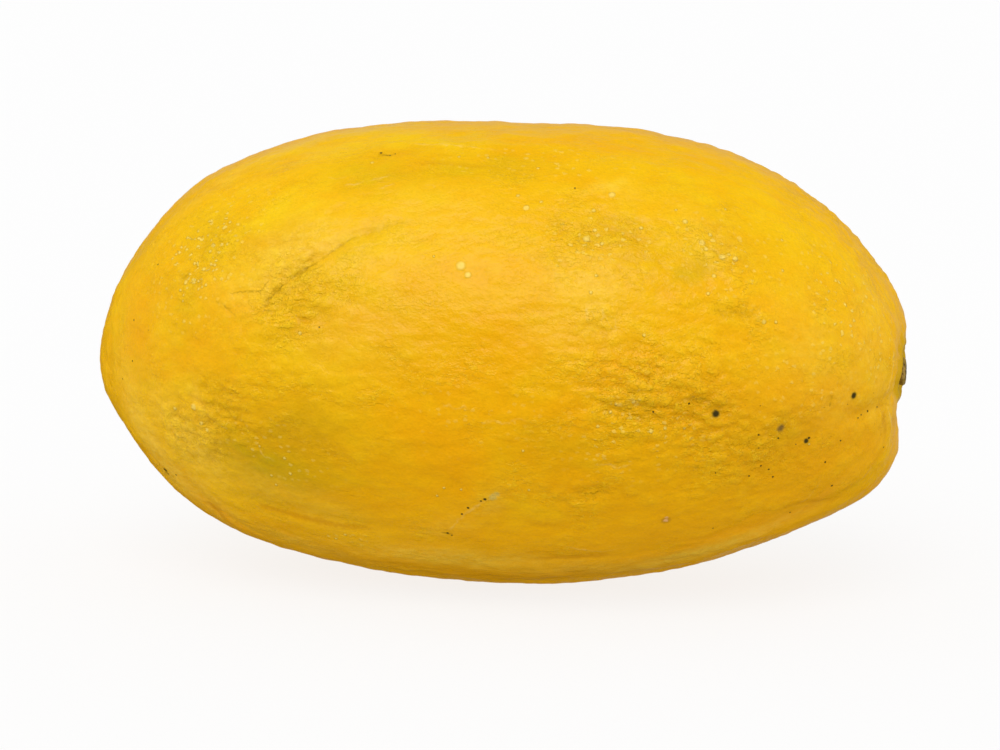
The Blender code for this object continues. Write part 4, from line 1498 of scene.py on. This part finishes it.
# %% [markdown]
# The stalk broke off short, and what is left of it has dried to a ribbed woody plug. It is turned from
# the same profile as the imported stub, with more rings, and then gets ribs, fine bark and a ragged end.
# A plain cylinder would be quicker, but the end view would show it at once.

# %% The stalk's stub
STUB_LENGTH = 4.5
STUB_GAP = 0.3
STUB_PROFILE = ((0.0, 0.0), (0.0, 4.4), (0.12, 4.9), (0.3, 4.4), (0.55, 4.1), (0.8, 4.3), (0.95, 3.7),
                (1.0, 2.2), (0.97, 0.0))
STUB_BEND_Y = -1.4
STUB_BEND_Z = -0.3
STUB_LOBES = 7
STUB_LOBE_DEPTH = 0.06
STUB_RINGS = 64
STUB_SIDES = 120
BARK_HEIGHT = 0.22
RAGGED_END = 0.45
PITH_DEPTH = 0.35
PITH_RADIUS = 1.3
# Radii and shares of the length over which bark and cut end begin and stop
BARK_FROM_RADIUS = (1.5, 3.6)
BARK_STOPS = (0.9, 1.0)
CUT_BEGINS = (0.80, 0.90)
CUT_TO_RADIUS = (1.7, 2.7)

stations = np.linspace(0.0, 1.0, len(STUB_PROFILE))
ring_stations = np.linspace(0.0, 1.0, STUB_RINGS + 1)[1:-1]
ring_along = np.interp(ring_stations, stations, [share for share, radius in STUB_PROFILE])
ring_radius = np.interp(ring_stations, stations, [radius for share, radius in STUB_PROFILE])
side_turns = np.linspace(0.0, 2.0 * np.pi, STUB_SIDES, endpoint=False)
along, stub_turn = np.meshgrid(ring_along, side_turns, indexing="ij")
lobes = 1.0 + STUB_LOBE_DEPTH * np.cos(STUB_LOBES * stub_turn + 2.0 * along)
stub_radius = np.repeat(ring_radius[:, None], STUB_SIDES, axis=1) * lobes
round_stub = np.stack([STUB_LENGTH * along, stub_radius * np.cos(stub_turn),
                       stub_radius * np.sin(stub_turn)], axis=-1).reshape(-1, 3)
bark = noise_field(round_stub, (3.2, 0.7, 0.7), 5.5).reshape(along.shape)
fibres = noise_field(round_stub, (1.1, 1.1, 1.1), 9.1).reshape(along.shape)
side_share = smooth_step(stub_radius, *BARK_FROM_RADIUS) * (1.0 - smooth_step(along, *BARK_STOPS))
stub_radius = stub_radius + side_share * (BARK_HEIGHT * bark - 0.5 * BARK_HEIGHT)
end_share = smooth_step(along, *CUT_BEGINS) * (1.0 - smooth_step(stub_radius, *CUT_TO_RADIUS))
sunk = RAGGED_END * np.abs(fibres) + PITH_DEPTH * np.exp(-(stub_radius / PITH_RADIUS) ** 2)
stub_points = np.stack([SEAT_X + STUB_GAP + STUB_LENGTH * along - end_share * sunk,
                        stub_radius * np.cos(stub_turn) + STUB_BEND_Y * along ** 2,
                        STEM_HEIGHT + stub_radius * np.sin(stub_turn) + STUB_BEND_Z * along ** 2],
                       axis=-1).reshape(-1, 3)
print("stub:", len(stub_points), "points, from", round(stub_points[:, 0].min(), 1), "to",
      round(stub_points[:, 0].max(), 1), "mm")

# %% Close the stub and set it in place
corner = np.arange(along.size).reshape(along.shape)
following = np.roll(corner, -1, axis=1)
ring_faces = np.stack([corner[:-1], following[:-1], following[1:], corner[1:]], axis=-1).reshape(-1, 4)
stub_faces = ring_faces.tolist()
stub_faces += [[along.size, right, left] for left, right in zip(corner[0].tolist(), following[0].tolist())]
stub_faces += [[along.size + 1, left, right]
               for left, right in zip(corner[-1].tolist(), following[-1].tolist())]
stub_ends = [stub_points[:STUB_SIDES].mean(axis=0), stub_points[-STUB_SIDES:].mean(axis=0)]
stub, stub_mesh = add_piece("stalk_stub", np.vstack([stub_points, stub_ends]), stub_faces)
shape = bmesh.new()
shape.from_mesh(stub_mesh)
bmesh.ops.recalc_face_normals(shape, faces=shape.faces)
shape.to_mesh(stub_mesh)
shape.free()
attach(stub, "root")
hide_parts("stem_stub")
keep_on_skin("cut_end", np.append(end_share.ravel(), [0.0, 1.0]), stub_mesh)
keep_on_skin("bark", np.append((bark + 0.5 * fibres).ravel(), [0.0, 0.0]), stub_mesh)
print("stub:", len(stub_faces), "faces")

# %% The stalk's finish
BARK_OLIVE = (0.340, 0.225, 0.030, 1.0)
BARK_TAN = (0.520, 0.345, 0.095, 1.0)
BARK_BROWN = (0.110, 0.062, 0.013, 1.0)
CUT_BROWN = (0.050, 0.028, 0.009, 1.0)
CUT_PITH = (0.200, 0.125, 0.045, 1.0)
THREAD_HEIGHT = 0.06

stalk, stalk_shader = new_finish("dry_stalk", {"Roughness": 0.8, "Specular IOR Level": 0.2})
stalk_tree = stalk.node_tree
stalk_place = place_in_mm(stalk_tree)
stains = noise_at(stalk_place, (2.6, 1.8, 1.8), 2.0)
threads = noise_at(stalk_place, (1.6, 0.28, 0.28), 2.0)
bark_here = stored_on_skin("bark", tree=stalk_tree)
cut_here = stored_on_skin("cut_end", tree=stalk_tree)
bark_colour = blend(soft_range(stains, -0.3, 0.9), BARK_OLIVE, BARK_TAN)
cracks = soft_range(times_plus(threads, 0.4, bark_here), 0.1, -0.8)
bark_colour = blend(cracks, bark_colour, BARK_BROWN)
cut_colour = blend(soft_range(threads, 0.1, 1.0), CUT_BROWN, CUT_PITH)
feed(stalk_shader.inputs["Base Color"], blend(cut_here, bark_colour, cut_colour))
feed(stalk_shader.inputs["Normal"], add_bump(stalk_tree, times(threads, THREAD_HEIGHT)))
stub_mesh.materials.append(stalk)
print("stalk material:", len(stalk_tree.nodes), "nodes")
